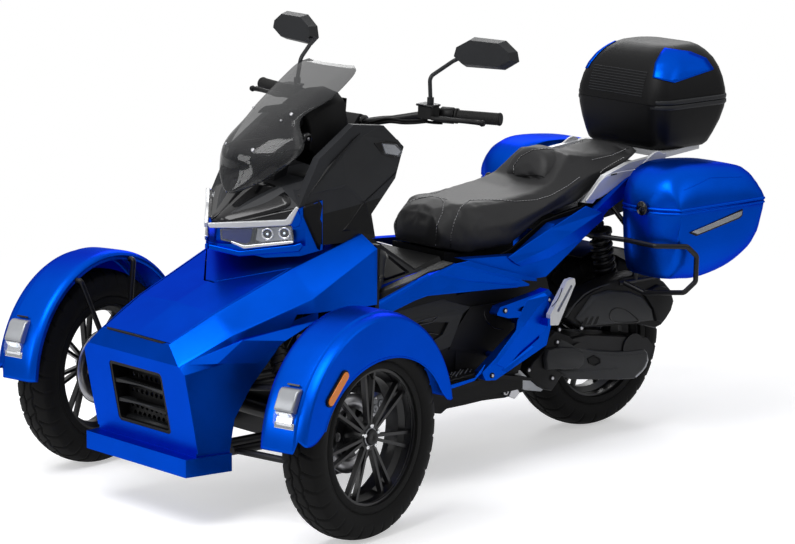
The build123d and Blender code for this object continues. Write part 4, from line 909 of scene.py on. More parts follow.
def headlamp():
    parts = [plate(name, outline, depth, mat, on_prow, bevel) for name, outline, depth, mat, bevel in (
        ("back", [(10, 762), (8, 796), (60, 799), (200, 812), (216, 812), (222, 768), (82, 750)], (0.3, 1.2),
         "gloss", 0.001),
        ("glint", [(16, 768), (14, 794), (58, 797), (104, 800), (96, 762), (84, 755)], (1.1, 3.5), "navy",
         0.0015),
        ("bowl", [(112, 766), (118, 800), (200, 808), (214, 806), (218, 772), (130, 762)], (1.1, 2.2),
         "alloy", 0.001),
        ("glass", [(12, 764), (10, 796), (60, 799), (200, 811), (218, 812), (223, 769), (82, 751)], (1.2, 10),
         "lens", 0.0025),
        ("brow", [(-21, 798), (-26, 812), (200, 829), (230, 868), (238, 864), (216, 817), (200, 812),
         (60, 800)], (0.3, 12), "silver", 0.0025),
        ("blade", [(43, 757), (43, 763), (80, 751), (214, 769), (223, 769), (222, 762), (80, 741)],
         (0.3, 12.5), "chrome", 0.0015),
        ("corner", [(207, 818), (231, 862), (246, 834), (240, 812), (224, 806)], (0.3, 9), "blue", 0.002),
        ("lip", [(-22, 735), (-24, 751), (66, 734), (226, 758), (244, 764), (250, 752), (238, 738),
         (66, 718)], (0.3, 10), "blue", 0.003))]
    for s, z in ((147, 786), (196, 790)):
        parts += [put(piece, on_prow(s, z, 0), towards((0.7724, 0.6353, 0))) for piece in (
            lathe("bezel", [(0.001, 0.0105), (0.001, 0.0175), (0.005, 0.0185), (0.0085, 0.0165),
                (0.0080, 0.0135), (0.004, 0.0115)], "chrome", 40),
            spun("eye", [(0.001, 0.0112), (0.005, 0.0108), (0.0075, 0.007)], "gloss", 40, 0.0085),
            spun("spark", [(0.0080, 0.0035), (0.0092, 0.0028)], "led", 20, 0.0096))]
    return joined("headlamp", parts)


lamp = headlamp()
twin = mirrored(lamp, "headlamp_right")
place(lamp, "chassis", "headlamp_lens")
place(twin, "chassis", "headlamp_lens")


# Cowl: gloss beak over the lamps, its panels and turn lamps


def beak():
    rings = [[P(23, 18, 806), P(22, 11, 820), P(21, 0, 822)],
        [P(-60, 116, 838), P(-62, 74, 868), P(-66, 0, 876)],
        [P(-125, 200, 866), P(-125, 122, 914), P(-125, 0, 922)]]
    made = loft("beak", rings, "gloss", closed=False)
    if made.data.polygons[0].normal.z < 0:
        made.data.flip_normals()
    modify(made, "SUBSURF", levels=2, render_levels=2, subdivision_type="CATMULL_CLARK")
    modify(made, "SOLIDIFY", thickness=0.0025, offset=0)
    return made


# Each panel of the cowl has a name, its pixels, how far each stands off in mm, its faces, material and bevel
COWL_PANELS = (
    ("cowl_wing", [(311.5, 194), (327, 174), (343, 156), (363, 136), (378, 126), (401, 137.5), (406.5, 148),
     (396, 170), (363.5, 200.4), (312, 215), (345, 184), (380, 152)], [1, 1, 1, 1, 1, 2, 2, 2, 5, 4, 6, 6],
     [(0, 1, 10, 9), (1, 2, 3, 11, 10), (3, 4, 5, 11), (5, 6, 7, 11), (7, 8, 10, 11), (8, 9, 10)], "charcoal",
     0.001),
    ("cowl_low", [(304.5, 218), (364, 202), (373.5, 214), (374.5, 235), (317.5, 247), (345, 229)],
     [3, 4, 2, 1, 1, 3], [(0, 1, 5), (1, 2, 3, 5), (3, 4, 5), (4, 0, 5)], "black", 0.001),
    ("cowl_back", [(365, 201), (396.5, 171.5), (398.5, 181), (385, 206.5), (374, 213)], [2, 2, 1, 1, 1],
     [range(5)], "black", 0.001),
    ("cowl_ridge", [(298, 196), (333, 160), (352, 140), (360, 133), (343, 154), (311, 192.5), (305, 205)],
     [4, 7, 6, 2, 1, 1, 1], [(0, 1, 4, 5, 6), (1, 2, 3, 4)], "black", 0.001),
    ("turn_recess", [(373, 143), (383, 140.5), (397, 143), (402, 153), (393, 157.5), (380, 154)],
     [6.5, 7, 5, 4, 6, 7], [range(6)], "gloss", 0.001),
    ("turn_glass", [(381, 144), (393, 145), (399.5, 151.5), (396, 155.5), (384, 153)], [9, 10, 8, 8, 9],
     [range(5)], "alloy", 0.002),
    ("turn_cover", [(380, 143), (394, 144), (401, 152), (397, 156.5), (383, 154)], [12, 13, 11, 11, 12],
     [range(5)], "lens", 0.002))
prow = NODES["headlamp_housing"]
both_sides(joined("cowl_trim", [
    beak(), decal("prow_rear", prow, [(303.5, 217), (303, 205), (323.5, 196), (326, 197), (326, 254),
        (317.5, 249)], "black"),
    decal("brow_top", prow, [(213, 221.5), (240, 219.5), (278, 212), (300, 202.5), (298, 209), (291, 217.5),
        (279, 221), (240, 223)], "gloss", lift=0.0008),
    *(folded(name, NODES["front_cowl"], *rest) for name, *rest in COWL_PANELS)]))


# Windscreen, its screws and the instrument pod behind it


# Each station has its height, the x of the middle, the third and the edge, and half the width
SCREEN = [(890, -24, -27, -32, 34), (946, -38, -58, -96, 118), (1018, -54, -100, -172, 160),
    (1100, -165, -176, -204, 112), (1152, -252, -266, -296, 134), (1233, -392, -398, -412, 132)]


def screen_row(z):
    """Smooth values between the screen's stations at height z."""
    k = max(i for i in range(len(SCREEN) - 1) if SCREEN[i][0] <= z)
    a, b = SCREEN[k], SCREEN[k + 1]
    before, after = SCREEN[max(k - 1, 0)], SCREEN[min(k + 2, len(SCREEN) - 1)]
    t = (z - a[0]) / (b[0] - a[0])
    row = []
    for i in range(1, 5):
        m0 = (b[i] - before[i]) / (b[0] - before[0]) * (b[0] - a[0])
        m1 = (after[i] - a[i]) / (after[0] - a[0]) * (b[0] - a[0])
        row.append(a[i] * (2 * t ** 3 - 3 * t ** 2 + 1) + m0 * (t ** 3 - 2 * t ** 2 + t)
                   + b[i] * (3 * t ** 2 - 2 * t ** 3) + m1 * (t ** 3 - t ** 2))
    return row


def windscreen():
    rings = []
    for z in (890 + 343 * i / 40 for i in range(41)):
        mid, third, edge, half = screen_row(min(z, 1232.9))
        if z > 1203:
            half -= 30 - sqrt(max(0, 900 - (z - 1203) ** 2))
        if z < 915:
            half *= 0.55 + 0.45 * sqrt(1 - ((915 - z) / 25) ** 2)
        ring = []
        for j in range(-10, 11):
            s = abs(j) / 10
            x = mid + (third - mid) * (s / 0.66) ** 1.7
            if s >= 0.66:
                x = third + (edge - third) * ((s - 0.66) / 0.34) ** 1.2
            ring.append(P(x - 1, half * j / 10, z))
        rings.append(ring)
    made = loft("windscreen", rings, "smoke", closed=False)
    if made.data.polygons[0].normal.x < 0:
        made.data.flip_normals()
    return made


screen = windscreen()
trim = [traced("crease", screen, [P(0, y * s, z) for y, z in path], 0.0007, "smoke", 0) for s in (-1, 1)
    for path in ([(52, 985), (100, 1003), (154, 1022)], [(52, 985), (40, 930), (30, 896)])]
for spot, size in (((291.5, 114.4), 0.0065), ((281.2, 120.6), 0.0035), ((252.9, 150.1), 0.0065),
        ((253.5, 107.6), 0.0035), ((226.3, 143.7), 0.0035)):
    head = spun("screw", [(-0.002, size), (0.0035, size * 0.8), (0.004, size * 0.3)], "steel", 20, 0.003)
    trim.append(put(head, seen(screen, [spot])[0], towards((0.85, 0.2, 0.5))))
modify(screen, "SOLIDIFY", thickness=0.0035, offset=-1)
place(joined("windscreen", [screen]), "chassis", "windshield")
place(joined("screen_trim", trim), "chassis")


def pod():
    rings = []
    for x, low, high, half in ((-262, 1000, 1096, 84), (-300, 960, 1130, 102), (-352, 940, 1150, 108),
                               (-384, 940, 1154, 106), (-392, 950, 1144, 98)):
        rings.append([P(x, y * half, low + (high - low) * z) for y,
            z in ((-1, 0), (-1, .62), (-.86, .9), (-.6, 1), (0, 1.05), (.6, 1), (.86, .9), (1, .62), (1, 0),
            (0, -.05))])
    made = loft("pod", rings, "black")
    sharpen(made, 40)
    rounded(made, 0.004)
    parts = [made, plate("display", [(-0.082, 1.088), (0.082, 1.088), (0.088, 1.138), (-0.088, 1.138)],
        (0, 0.004), "gloss", lambda u, v, w: Vector((AX - 0.394 - w, u, v)))]
    for s in (-1, 1):
        knob = spun("knob", [(-0.012, 0.016), (0.004, 0.017), (0.008, 0.013)], "gloss", 32)
        pin = spun("pin", [(0.008, 0.004), (0.0095, 0.0035)], "steel", 20, 0.0096)
        parts.append(put(joined("knob", [knob, pin]), P(-226, s * 112, 1040),
            Matrix.Rotation(0 if s > 0 else pi, 4, "Z")))
    return joined("pod", parts)


place(pod(), "chassis")


# Middle: tunnel panels, beams, floorboards, belly and braces


def panels(y, rows):
    """Folded panels on one upright plane: name, pixels, how far each stands out, faces and material."""
    return [facets(name, spots, outs, faces, y, mat) for name, spots, outs, faces, mat in rows]


tunnel = NODES["leg_shield"]
both_sides(joined("leg_triangle", [decal(name, tunnel, spots, mat, lift, outside=0.14) for name, spots, mat,
    lift in (
    ("tri_frame", [(381, 242), (426, 270.5), (375, 298)], "charcoal", 0.0004),
    ("tri_pocket", [(385.4, 253.6), (409, 272.7), (376.8, 283.6)], "gloss", 0.0016),
    ("tri_ledge", [(376.5, 286), (409.5, 274), (411.5, 276), (375.2, 295)], "charcoal", 0.0018))]))
both_sides(joined("leg_relief", [
    *panels(0.2055, (
        ("leg_strip", [(384.7, 315), (444, 298.4), (447, 300.7), (469.4, 306.4), (396.7, 322)],
         [0, 0, 2, 7, 7], [range(5)], "charcoal"),
        ("leg_wing", [(396.7, 322), (469.4, 306.4), (461, 313), (454.5, 330), (448.4, 346.4), (435, 352.4),
                      (429, 343.4), (441, 334.4), (447, 322)], [7, 7, 9, 9, 8, 3, 3, 7, 8],
         [(0, 1, 2, 8), (8, 2, 3, 7), (7, 3, 4, 5, 6)], "charcoal"),
        ("leg_pan", [(469.4, 306.4), (520, 299), (511, 330), (486, 352), (448.4, 350), (454.5, 330)],
         [6, 5, 3, 2, 2, 5], [(0, 1, 2, 5), (5, 2, 3, 4)], "black"))),
    side_line("leg_arc", [(485, 306), (484, 314), (487, 322), (494, 328), (503, 330)], 0.2095, 0.0016,
        "gloss"),
    *(side_line("vent", spots, 0.2135, 0.0022, "gloss") for spots in (
        [(411, 325), (424, 320), (436.5, 316.6)], [(412.5, 326.4), (432, 322.3), (437.5, 317)],
        [(420, 336.5), (430.4, 333.4), (438, 334.6)]))]))
both_sides(joined("beam_relief_and_painted_shade", [
    # The black sheet over the blue top face of the beam is painted shade: it stands for the shade that falls
    # there under the seat.
    decal("beam_top_painted_shade", NODES["side_beams"], [(379, 290), (443, 258.5), (458, 261.5), (441.5, 269.4),
        (427.6, 273.2), (379, 300)], "black"),
    pixel_plate("beam_gap", [(508, 268), (545, 272), (552, 300), (500, 302)], 0.2, 0.002, "black", 0),
    *panels(0.262, (
        ("beam_lip", [(368.2, 307.6), (427.6, 274), (428.4, 275), (370, 309.2)], [1.5, 1.5, 3.5, 3.5],
         [range(4)], "blue"),
        ("beam_low", [(371.5, 311), (433.4, 276), (439.4, 274.8), (470.9, 281.5), (517, 285.4), (517, 287.2),
                      (462, 291), (424.4, 295), (384.7, 315), (452, 285)], [1, 1, 1, 4, 6, 6, 6, 6, 4, 4],
         [(0, 1, 2, 9), (2, 3, 9), (3, 4, 5, 6, 9), (6, 7, 9), (7, 8, 0, 9)], "blue"),
        ("beam_mid", [(441, 273.5), (453, 265.2), (520, 281.4), (520, 284), (471.5, 280)], [1, 1, 5, 5, 2.5],
         [(0, 1, 4), (1, 2, 3, 4)], "blue"),
        ("beam_high", [(455, 264), (469, 261), (522, 274.8), (536, 278.4), (536, 281), (520, 279.6)],
         [0.5, 0.5, 3, 3, 5, 5], [(0, 1, 2, 5), (5, 2, 3, 4)], "blue")))]))
both_sides(joined("brace_relief", [
    *panels(0.296, (
        ("brace_ridge", [(527, 300), (544.3, 292.6), (546.6, 295.4), (534.6, 309.5), (524.9, 322),
         (495.5, 364), (489.5, 367.2), (515.9, 330.5), (517.4, 321)], [0.5, 0.5, 6, 6, 6, 5, 0.5, 0.5, 0.5],
         [(0, 1, 2, 3), (0, 3, 4, 8), (8, 4, 7), (7, 4, 5, 6)], "blue"),
        ("brace_flank", [(546.6, 295.4), (549.5, 301), (545, 330), (520, 352), (506, 369), (495.5, 364),
         (524.9, 322), (534.6, 309.5)], [6, 1, 0.5, 0.5, 0.5, 5, 6, 6],
         [(0, 1, 2, 7), (7, 2, 3, 6), (6, 3, 4, 5)], "blue"),
        ("brace_edge", [(501.5, 370.5), (531, 345.2), (533.4, 346.4), (506.4, 372)], [1, 1, 5.5, 5.5],
         [range(4)], "blue"))),
    *(bolt("bolt", P(x, 296, z)) for x, z in ((-835, 487), (-1012, 497), (-785, 298)))]))
floor = NODES["floorboards"]
both_sides(joined("floor_relief", [
    decal("floor_mat", floor, [(441, 367.4), (484, 354.2), (473.9, 376), (441.5, 383.5)], "black", cuts=9),
    pipe("mat_frame", seen(floor, [(441, 368), (483, 355), (473, 375), (442, 382.5), (441, 368)], 0.002),
        0.0013, "charcoal", resolution=2),
    *(pipe("mat_rib", seen(floor, spots, 0.0025), 0.0016, "alloy", smooth=False, resolution=2) for spots in (
        [(445, 372), (454, 369), (450, 377)], [(452, 377), (462, 364.5)], [(456, 376.5), (467, 362)],
        [(460, 375), (471, 360)], [(465, 374), (475, 358.5)], [(470, 372.5), (479, 357.5)])),
    pixel_plate("floor_blue", [(445.4, 387), (475.4, 378), (485.9, 364), (481.5, 373.4), (474.5, 381),
        (446.9, 390.6)], 0.352, 0.006, "blue")]))


def belly():
    y = 0.197
    rods = [pipe(name, [at_side(s, y) for s in spots], radius, "steel", resolution=3) for name, spots,
        radius in (
        ("hook", [(454, 402), (453, 396), (458, 391)], 0.0042),
        ("hook", [(456.8, 399), (461.5, 397), (464, 390.5)], 0.0042),
        ("stand_link", [(503.5, 382), (506, 386), (509, 384), (512, 377)], 0.0045))]
    rings = [put(lathe("ring", [(-0.004, size * 0.5), (-0.004, size), (0.004, size), (0.004, size * 0.5)],
        "steel", 28),
                 at_side(spot, y)) for spot, size in (((472, 390.5), 0.0085), ((505.7, 392), 0.0095))]
    return joined("belly", [
        pixel_plate("belly_plate", [(424, 396), (427, 413), (441.5, 414), (447, 409), (466, 405), (482, 401),
            (492, 399.6), (505, 398), (520, 393), (536, 389), (538, 376), (500, 378)], 0.188, 0.03, "black",
            0.003), *rods[:2], *rings, rods[2],
        pixel_plate("stand_plate", [(511, 377), (516, 380), (517.5, 388), (520, 393), (515, 399), (509, 397),
                                    (512, 389)], 0.2, 0.008, "steel", 0.002),
        facets("cast_foot", [(513, 369.5), (519, 370), (535, 385.5), (543, 389), (541, 391.5), (524, 390),
            (515.5, 380)], [2, 6, 6, 2, 0, 0, 4], [(0, 1, 6), (1, 2, 5, 6), (2, 3, 4, 5)], 0.2, "alloy",
            root=0.02)])


both_sides(belly())
peg_face = max(v.co.y for v in NODES["peg_left"].data.vertices) + 0.0004
for side, sign in zip(SIDES, (1, -1)):
    line = [at_side(s, peg_face) for s in ((562.2, 288), (560.5, 294.5), (556.5, 302), (552, 306.5))]
    place(pipe("peg_slot_" + side, [Vector((p.x, sign * peg_face, p.z)) for p in line], 0.0013, "black",
        resolution=2), "peg_" + side)


# Seat: the CAD solid's form as a soft cover, and a back pad


def soft_copy(name, source, inset, rounds, voxel=0.006):
    """A remeshed and rounded copy of a mesh, a little smaller, ready to be filled."""
    made = linked(name, source.data.copy())
    made.data.materials.clear()
    made.data.materials.append(M["leather"])
    modify(made, "REMESH", mode="VOXEL", voxel_size=voxel, use_smooth_shade=True)
    modify(made, "SMOOTH", factor=0.5, iterations=rounds)
    modify(made, "DISPLACE", strength=-inset, mid_level=0.0)
    return joined(name, [made])


def filled(obj, cap, floor_normal=-0.6, pressure=4.0):
    """Cloth under pressure from inside, held where it rests, and no further out than cap."""
    start = [v.co.copy() for v in obj.data.vertices]
    held = obj.vertex_groups.new(name="held")
    held.add([v.index for v in obj.data.vertices if v.normal.z < floor_normal], 1.0, "REPLACE")
    settings = obj.modifiers.new("cloth", "CLOTH").settings
    settings.use_pressure = True
    settings.uniform_pressure_force = pressure
    settings.effector_weights.gravity = 0
    settings.vertex_group_mass = "held"
    settings.quality = 4
    for step in range(1, 21):
        bpy.context.scene.frame_set(step)
    mesh = bpy.data.meshes.new_from_object(obj.evaluated_get(bpy.context.evaluated_depsgraph_get()))
    for v, at in zip(mesh.vertices, start):
        move = v.co - at
        if move.length > cap:
            v.co = at + move.normalized() * cap
    bpy.context.scene.frame_set(1)
    name = obj.name
    bpy.data.objects.remove(obj)
    made = linked(name, mesh)
    modify(made, "SMOOTH", factor=0.5, iterations=3)
    made = joined(name, [made])
    made.data.shade_smooth()
    return made


def back_pad_form():
    """Arched pad in front of the step, lofted from its face to its root."""
    rings = []
    for inset, width, base, height, ahead in ((1.0, 76, 812, 80, 30), (0, 94, 802, 102, 18),
            (0, 102, 796, 112, -10), (0, 108, 792, 104, -60), (0, 100, 792, 92, -84)):
        ring = []
        for i in range(17):
            a = pi * i / 16
            z = base + height * sin(a) ** 0.75
            ring.append(P(-1196 - 0.42 * (z - 800) + ahead, width * cos(a), z))
        rings.append(ring + [P(-1196 + ahead, side * width * 0.5, base - 2) for side in (-1, 1)])
    return loft("back_pad", rings, "leather")


seat = filled(soft_copy("seat_cover", NODES["seat"], 0.005, 14), 0.006)
form = back_pad_form()
pad = filled(soft_copy("back_pad", form, 0.004, 5, 0.005), 0.007, -2)
bpy.data.objects.remove(form)

SEAT_SEAMS = (
    [(429.4, 196), (440.6, 198), (444, 202.5), (442.4, 212.8), (436.5, 226.6), (435.5, 250)],
    [(476, 200), (469, 200.5), (460.4, 207.7), (454.4, 221.4), (451, 235.2), (450.5, 253)],
    [(476, 200), (498, 200), (515.5, 201.5), (536, 200), (551, 195.5), (567, 186.5), (580, 177)],
    [(592, 160), (612, 155.5), (629, 148)],
    [(600, 173), (603, 169.8), (613, 163.7), (625, 157)])
PAD_SEAM = [(513.8, 174), (513.8, 166.3), (520.7, 156.5), (532.8, 150.1), (546.5, 148.6), (559, 150.6),
    (565, 154.6), (566, 160), (564, 166.3), (559.5, 174), (554, 181.5)]


def seam(path, dash=0.007, gap=0.0035):
    """A sunk dark line with a row of stitches over it."""
    curve = wire_curve("stitches", 0.0010, 1, "thread")
    path_up = [p + Vector((0, 0, 0.0004)) for p in path]
    left, drawing, points = dash, True, [path_up[0]]
    for a, b in zip(path_up, path_up[1:]):
        here, span = a, (b - a).length
        while span > left:
            here = here.lerp(b, left / span)
            span -= left
            if drawing:
                add_spline(curve, "POLY", points + [here])
            drawing = not drawing
            left = dash if drawing else gap
            points = [here]
        left -= span
        if drawing:
            points.append(b)
    return [pipe("groove", path, 0.0011, "black", resolution=1), linked("stitches", curve)]


seams = []
for spots in SEAT_SEAMS:
    path = seen(seat, spots, 0.0004)
    if len(path) > 3:
        seams += seam(path) + seam([Vector((p.x, -p.y, p.z)) for p in path])
pocket = seen(pad, [(520, 178.4), (526, 175.3), (538, 175.3), (548, 178.4), (552, 183)], 0.0006)
seams += seam(seen(pad, PAD_SEAM, 0.0004)) + [pipe("pocket", pocket, 0.0016, "black", resolution=2)]
place(seat, "seat", "seat")
place(pad, "seat")
place(joined("seat_seams", seams), "seat")
SEAT_SKIRT = [(-930, 628), (-970, 638), (-1100, 708), (-1175, 722), (-1262, 734), (-1330, 762), (-1440, 804),
    (-1530, 846), (-1530, 820), (-1440, 770), (-1330, 715), (-1262, 690), (-1175, 670), (-1100, 640),
    (-970, 560), (-930, 560)]
both_sides(plate("seat_skirt", SEAT_SKIRT, (166, 172), "black", lambda u, v, w: P(u, w, v), 0.0015))


# Tail box and side cases


def rounded_ring(x0, x1, half, radius, z):
    """A rounded rectangle in mm, from the front left corner round."""
    ring = []
    for k, (cx, cy) in enumerate(((x1 - radius, half - radius), (x0 + radius, half - radius),
                                  (x0 + radius, radius - half), (x1 - radius, radius - half))):
        for i in range(7):
            x, y = arc_at(radius, 90 * k + 15 * i)
            ring.append(P(cx + x, cy + y, z))
    return ring


def case_shell(name, sections, mat, wall=4.0):
    """Open shell through (z, rear x, front x, half width, corner radius), from the rim to the closed end."""
    up = 1 if sections[-1][0] > sections[0][0] else -1
    outer = [rounded_ring(a, b, h, r, z) for z, a, b, h, r in sections]
    inner = [rounded_ring(a + wall, b - wall, h - wall, r - wall / 2, z - (up * wall if i else 0))
             for i, (z, a, b, h, r) in enumerate(sections)]
    made = loft(name, outer[::-1] + inner, mat)
    sharpen(made, 40)
    return made


def rim_band(name, x1, z0, z1, out=7):
    """A bead round the tail box between two heights."""
    return skin(name, [rounded_ring(-1885.5 - w, x1 + w, 197 + w, 60 + w, z) for w, z in (
        (-1, z0), (out * 0.7, z0), (out, z0 + 3), (out, z1 - 3), (out * 0.7, z1), (-1, z1))], "charcoal",
        close_cols=True)


TOP_LID = [(1014.6, -1893, -1565, 197, 60), (1044, -1891, -1567, 195, 60), (1080, -1886, -1576, 189, 62),
           (1112, -1878, -1590, 180, 64), (1140, -1867, -1608, 167, 66), (1162, -1853, -1630, 149, 68),
           (1176, -1838, -1652, 131, 66), (1183, -1824, -1668, 117, 62), (1186, -1808, -1684, 102, 56)]
TOP_BASE = [(1013.4, -1893, -1565, 197, 60), (985, -1888, -1567, 194, 58), (945, -1874, -1573, 187, 56),
            (905, -1852, -1582, 177, 52), (880, -1836, -1590, 168, 46), (869, -1824, -1600, 156, 38)]
lid = case_shell("top_lid_shell", TOP_LID, "black")
place(lid, "top_lid", "top_box_lid")
place(case_shell("top_box_shell", TOP_BASE, "black"), "chassis", "top_box_base")
place(rim_band("top_rim", -1573, 999, 1013.6), "chassis")
place(rim_band("top_lid_rim", -1574, 1014.9, 1029), "top_lid")
insert = decal("lid_insert", lid, [(664.3, 48.6), (690, 52), (706, 58.5), (713.5, 69.5), (674.3, 82.9),
    (652.7, 78), (655.2, 63.1), (660.2, 54)], "blue", thick=0.003)
place(mirrored(insert, "lid_insert_right"), "top_lid")
place(insert, "top_lid")
place(joined("lid_ribs", [traced("rib", lid, [P(-1500, -118, z), P(-1500, 118, z)], 0.0016, "charcoal",
    axis=0)
                          for z in range(1038, 1112, 8)]), "top_lid")
place(joined("top_clips", [plate("clip", [(-20, -12), (20, -12), (16, 14), (-16, 14)], (0, 10), "black",
                                 lambda u, v, w: P(-1883 - w, y + u, 1000 + v)) for y in (-96, 96)]),
                                     "chassis")


# Side cases: a rounded outline that narrows outward, cut at the rim


PAN_RIM = 736
PAN_SIDE = [(-1352, 4), (-1356, -80), (-1374, -172), (-1404, -212), (-1470, -222), (-1549, -226),
    (-1669, -200), (-1752, -150), (-1778, -70), (-1784, 4), (-1780, 54), (-1736, 100), (-1640, 120),
    (-1500, 128), (-1424, 110), (-1374, 66)]
# y, scale above and below the rim and along x, and how far the front end is drawn back
PAN_LEVELS = [(236.6, .965, .965, .99, 26), (240, .99, .99, 1, 20), (290, 1, 1, 1, 4), (350, 1, 1, 1, 8),
    (384, .99, .985, 1, 20), (404, .90, .955, .997, 34), (420, .74, .88, .992, 46), (434, .52, .74, .985, 56),
    (442, .33, .52, .975, 64), (447.4, .12, .20, .96, 74)]


def pannier_form():
    mid = -1568
    rings = []
    for y, up, low, kx, nose in PAN_LEVELS:
        ring = []
        for p in smooth_loop(PAN_SIDE):
            x = mid + (p.x - mid) * kx
            if x > mid:
                x -= nose * ((x - mid) / 216) ** 6
            ring.append(P(x, y, PAN_RIM + p.y * (up if p.y > 0 else low)))
        rings.append(ring)
    made = loft("pannier", rings, "blue")
    sharpen(made, 50)
    return made


def cut_at(obj, name, z, keep_above):
    """The half of a closed form above or below z, as a shell, and the points of its cut."""
    bm = bmesh.new()
    bm.from_mesh(obj.data)
    bmesh.ops.bisect_plane(bm, geom=bm.verts[:] + bm.edges[:] + bm.faces[:], plane_co=(0, 0, z),
        plane_no=(0, 0, 1),
                           clear_inner=keep_above, clear_outer=not keep_above)
    edge = [v.co.copy() for v in bm.verts if abs(v.co.z - z) < 1e-5]
    made = from_bm(name, bm, "blue")
    made.data.shade_smooth()
    modify(made, "SOLIDIFY", thickness=0.0035, offset=-1)
    mid = sum(edge, Vector()) / len(edge)
    return made, sorted(edge, key=lambda p: atan2(p.y - mid.y, p.x - mid.x))


form = pannier_form()
case_lid, lid_edge = cut_at(form, "pannier_lid", P(0, 0, PAN_RIM + 0.4).z, True)
case_base, base_edge = cut_at(form, "pannier_base", P(0, 0, PAN_RIM - 0.6).z, False)
strip = [decal("strip_back", form, [(688.8, 233), (742.5, 209), (742, 215.6), (739, 218.4), (696, 236)],
    "black"),
         decal("strip", form, [(690.8, 231.8), (741.3, 210.6), (740.7, 214.8), (738, 217), (697, 234)],
             "alloy", 0.002, 0.0025)]
crease = traced("crease", form, [P(-1440, 0, 800), P(-1560, 0, 824), P(-1700, 0, 812)], 0.0012, "blue")
bpy.data.objects.remove(form)
bead = pipe("bead", [p + Vector((0, 0, 0.005)) for p in lid_edge], 0.0045, "blue", cyclic=True)
lip = pipe("lip", [p - Vector((0, 0, 0.006)) for p in base_edge], 0.0035, "blue", cyclic=True)
latch = put(spun("knob", [(0, 0.021), (0.007, 0.022), (0.010, 0.019), (0.010, 0.012), (0.013, 0.010)],
    "gloss", 40),
            P(-1357, 341, 742), Matrix.Rotation(-pi / 2, 4, "Z"))
for made, body, twin_body, node_left, node_right in ((joined("case_lid", [case_lid, bead, latch, crease]),
        "pannier_lid_left", "pannier_lid_right", "pannier_lid_left", "pannier_lid_right"),
        (joined("case_base", [case_base, lip] + strip), "chassis", "chassis", "pannier_bases",
        "pannier_bases")):
    place(mirrored(made, made.name + "_right"), twin_body, node_right)
    place(made, body, node_left)


# Silver grab rails and the bright blades of the tail panels


GRAB = [(586.5, 202), (592, 193), (604, 177.5), (620, 171.5), (636, 168.5), (648, 158), (657, 151),
    (664, 154), (658, 162), (643, 167), (631, 176), (619, 184.5), (602, 197)]
both_sides(pixel_plate("grab_blade", [p.xy for p in smooth_loop(GRAB, 3)], 0.193, 0.009, "silver", 0.003))
both_sides(joined("tail_blade", panels(0.2362, [(
    "tail_blade", [(508, 257.4), (530, 242), (549, 229.5), (586, 206), (600, 212), (571.5, 231), (545, 248),
                   (515, 263.5), (521, 266.5), (549, 258), (580, 240), (604, 219)],
    [1, 1, 1, 1, 9, 12, 12, 6, 1, 1, 1, 1],
    [(0, 1, 6, 7), (1, 2, 5, 6), (2, 3, 4, 5), (7, 6, 9, 8), (6, 5, 10, 9), (5, 4, 11, 10)], "blue")])))
both_sides(pixel_plate("grab_slot", [(611, 174.4), (617, 173), (617, 174.4), (611, 175.8)], 0.1935, 0.001,
    "black", 0))


# Drive: filter housing, belt case, coils and guard


def coil(name, a, b, radius, wire_radius, turns, mat):
    """Helical spring from a to b."""
    axis = (b - a).normalized()
    u = axis.orthogonal().normalized()
    w = axis.cross(u)
    points = []
    for i in range(turns * 14 + 1):
        c, s = arc_at(radius, 360 * i / 14)
        points.append(a.lerp(b, i / (turns * 14)) + u * c + w * s)
    return pipe(name, points, wire_radius, mat, resolution=3)


def stacks(y, rows):
    """Covers on one upright plane: name, pixels, levels and material."""
    return [stack(name, spots, levels, y, mat) for name, spots, levels, mat in rows]


place(joined("air_cover", [
    *stacks(0.226, (
        ("air_body", [(565, 318), (569, 309), (577, 302), (584, 295.5), (592, 290.5), (606, 283.5),
         (624, 277), (642, 273), (655, 276.5), (664, 281.5), (671, 290), (674, 301), (671.5, 310), (666, 319),
         (661, 325), (655, 328), (635, 324), (606, 326.5), (582, 328), (573, 324)],
         [(-74, .93), (-72, .985), (-6, 1), (1, .985), (5, .955)], "black"),
        ("air_face", [(573.5, 318.5), (590, 295), (607, 289.5), (628, 291), (640, 296), (650, 309),
         (652, 320), (635, 322), (606, 324), (583, 326)], [(3, 1), (10, .985), (15, .93), (16.5, .86)],
         "charcoal"),
        ("air_tail", [(640, 292), (655, 284), (664, 286), (669.5, 294), (670.5, 302), (667, 311), (659, 322),
                      (654, 321), (650, 308)], [(3, 1), (9, .98), (13, .92), (14, .86)], "black"))),
    stack("air_cap", [(606, 316), (608, 309.5), (614, 307), (622, 309), (630, 315), (635, 321), (622, 322),
                      (610, 321)], [(12, 1.06), (18, 1.04), (18.5, .96), (15, .9)], 0.226, "gloss", 4),
    side_line("air_rim", [(565.7, 317.5), (575.3, 303.6), (584.2, 294.6), (593, 289.4), (610, 283.4)], 0.231,
        0.0022, "charcoal"),
    *(facets("air_rib", spots, [2, 2, 5, 5], [range(4)], 0.2405, "gloss") for spots in (
        [(581, 325.5), (585, 317.5), (588, 316.8), (584.5, 325)],
        [(586.5, 325), (590.5, 317), (593.5, 316.3), (590, 324.8)],
        [(592, 324.8), (596, 316.6), (599, 315.9), (595.5, 324.5)]))]), "chassis", "air_box")
BELT = 0.214                  # the belt case's plane
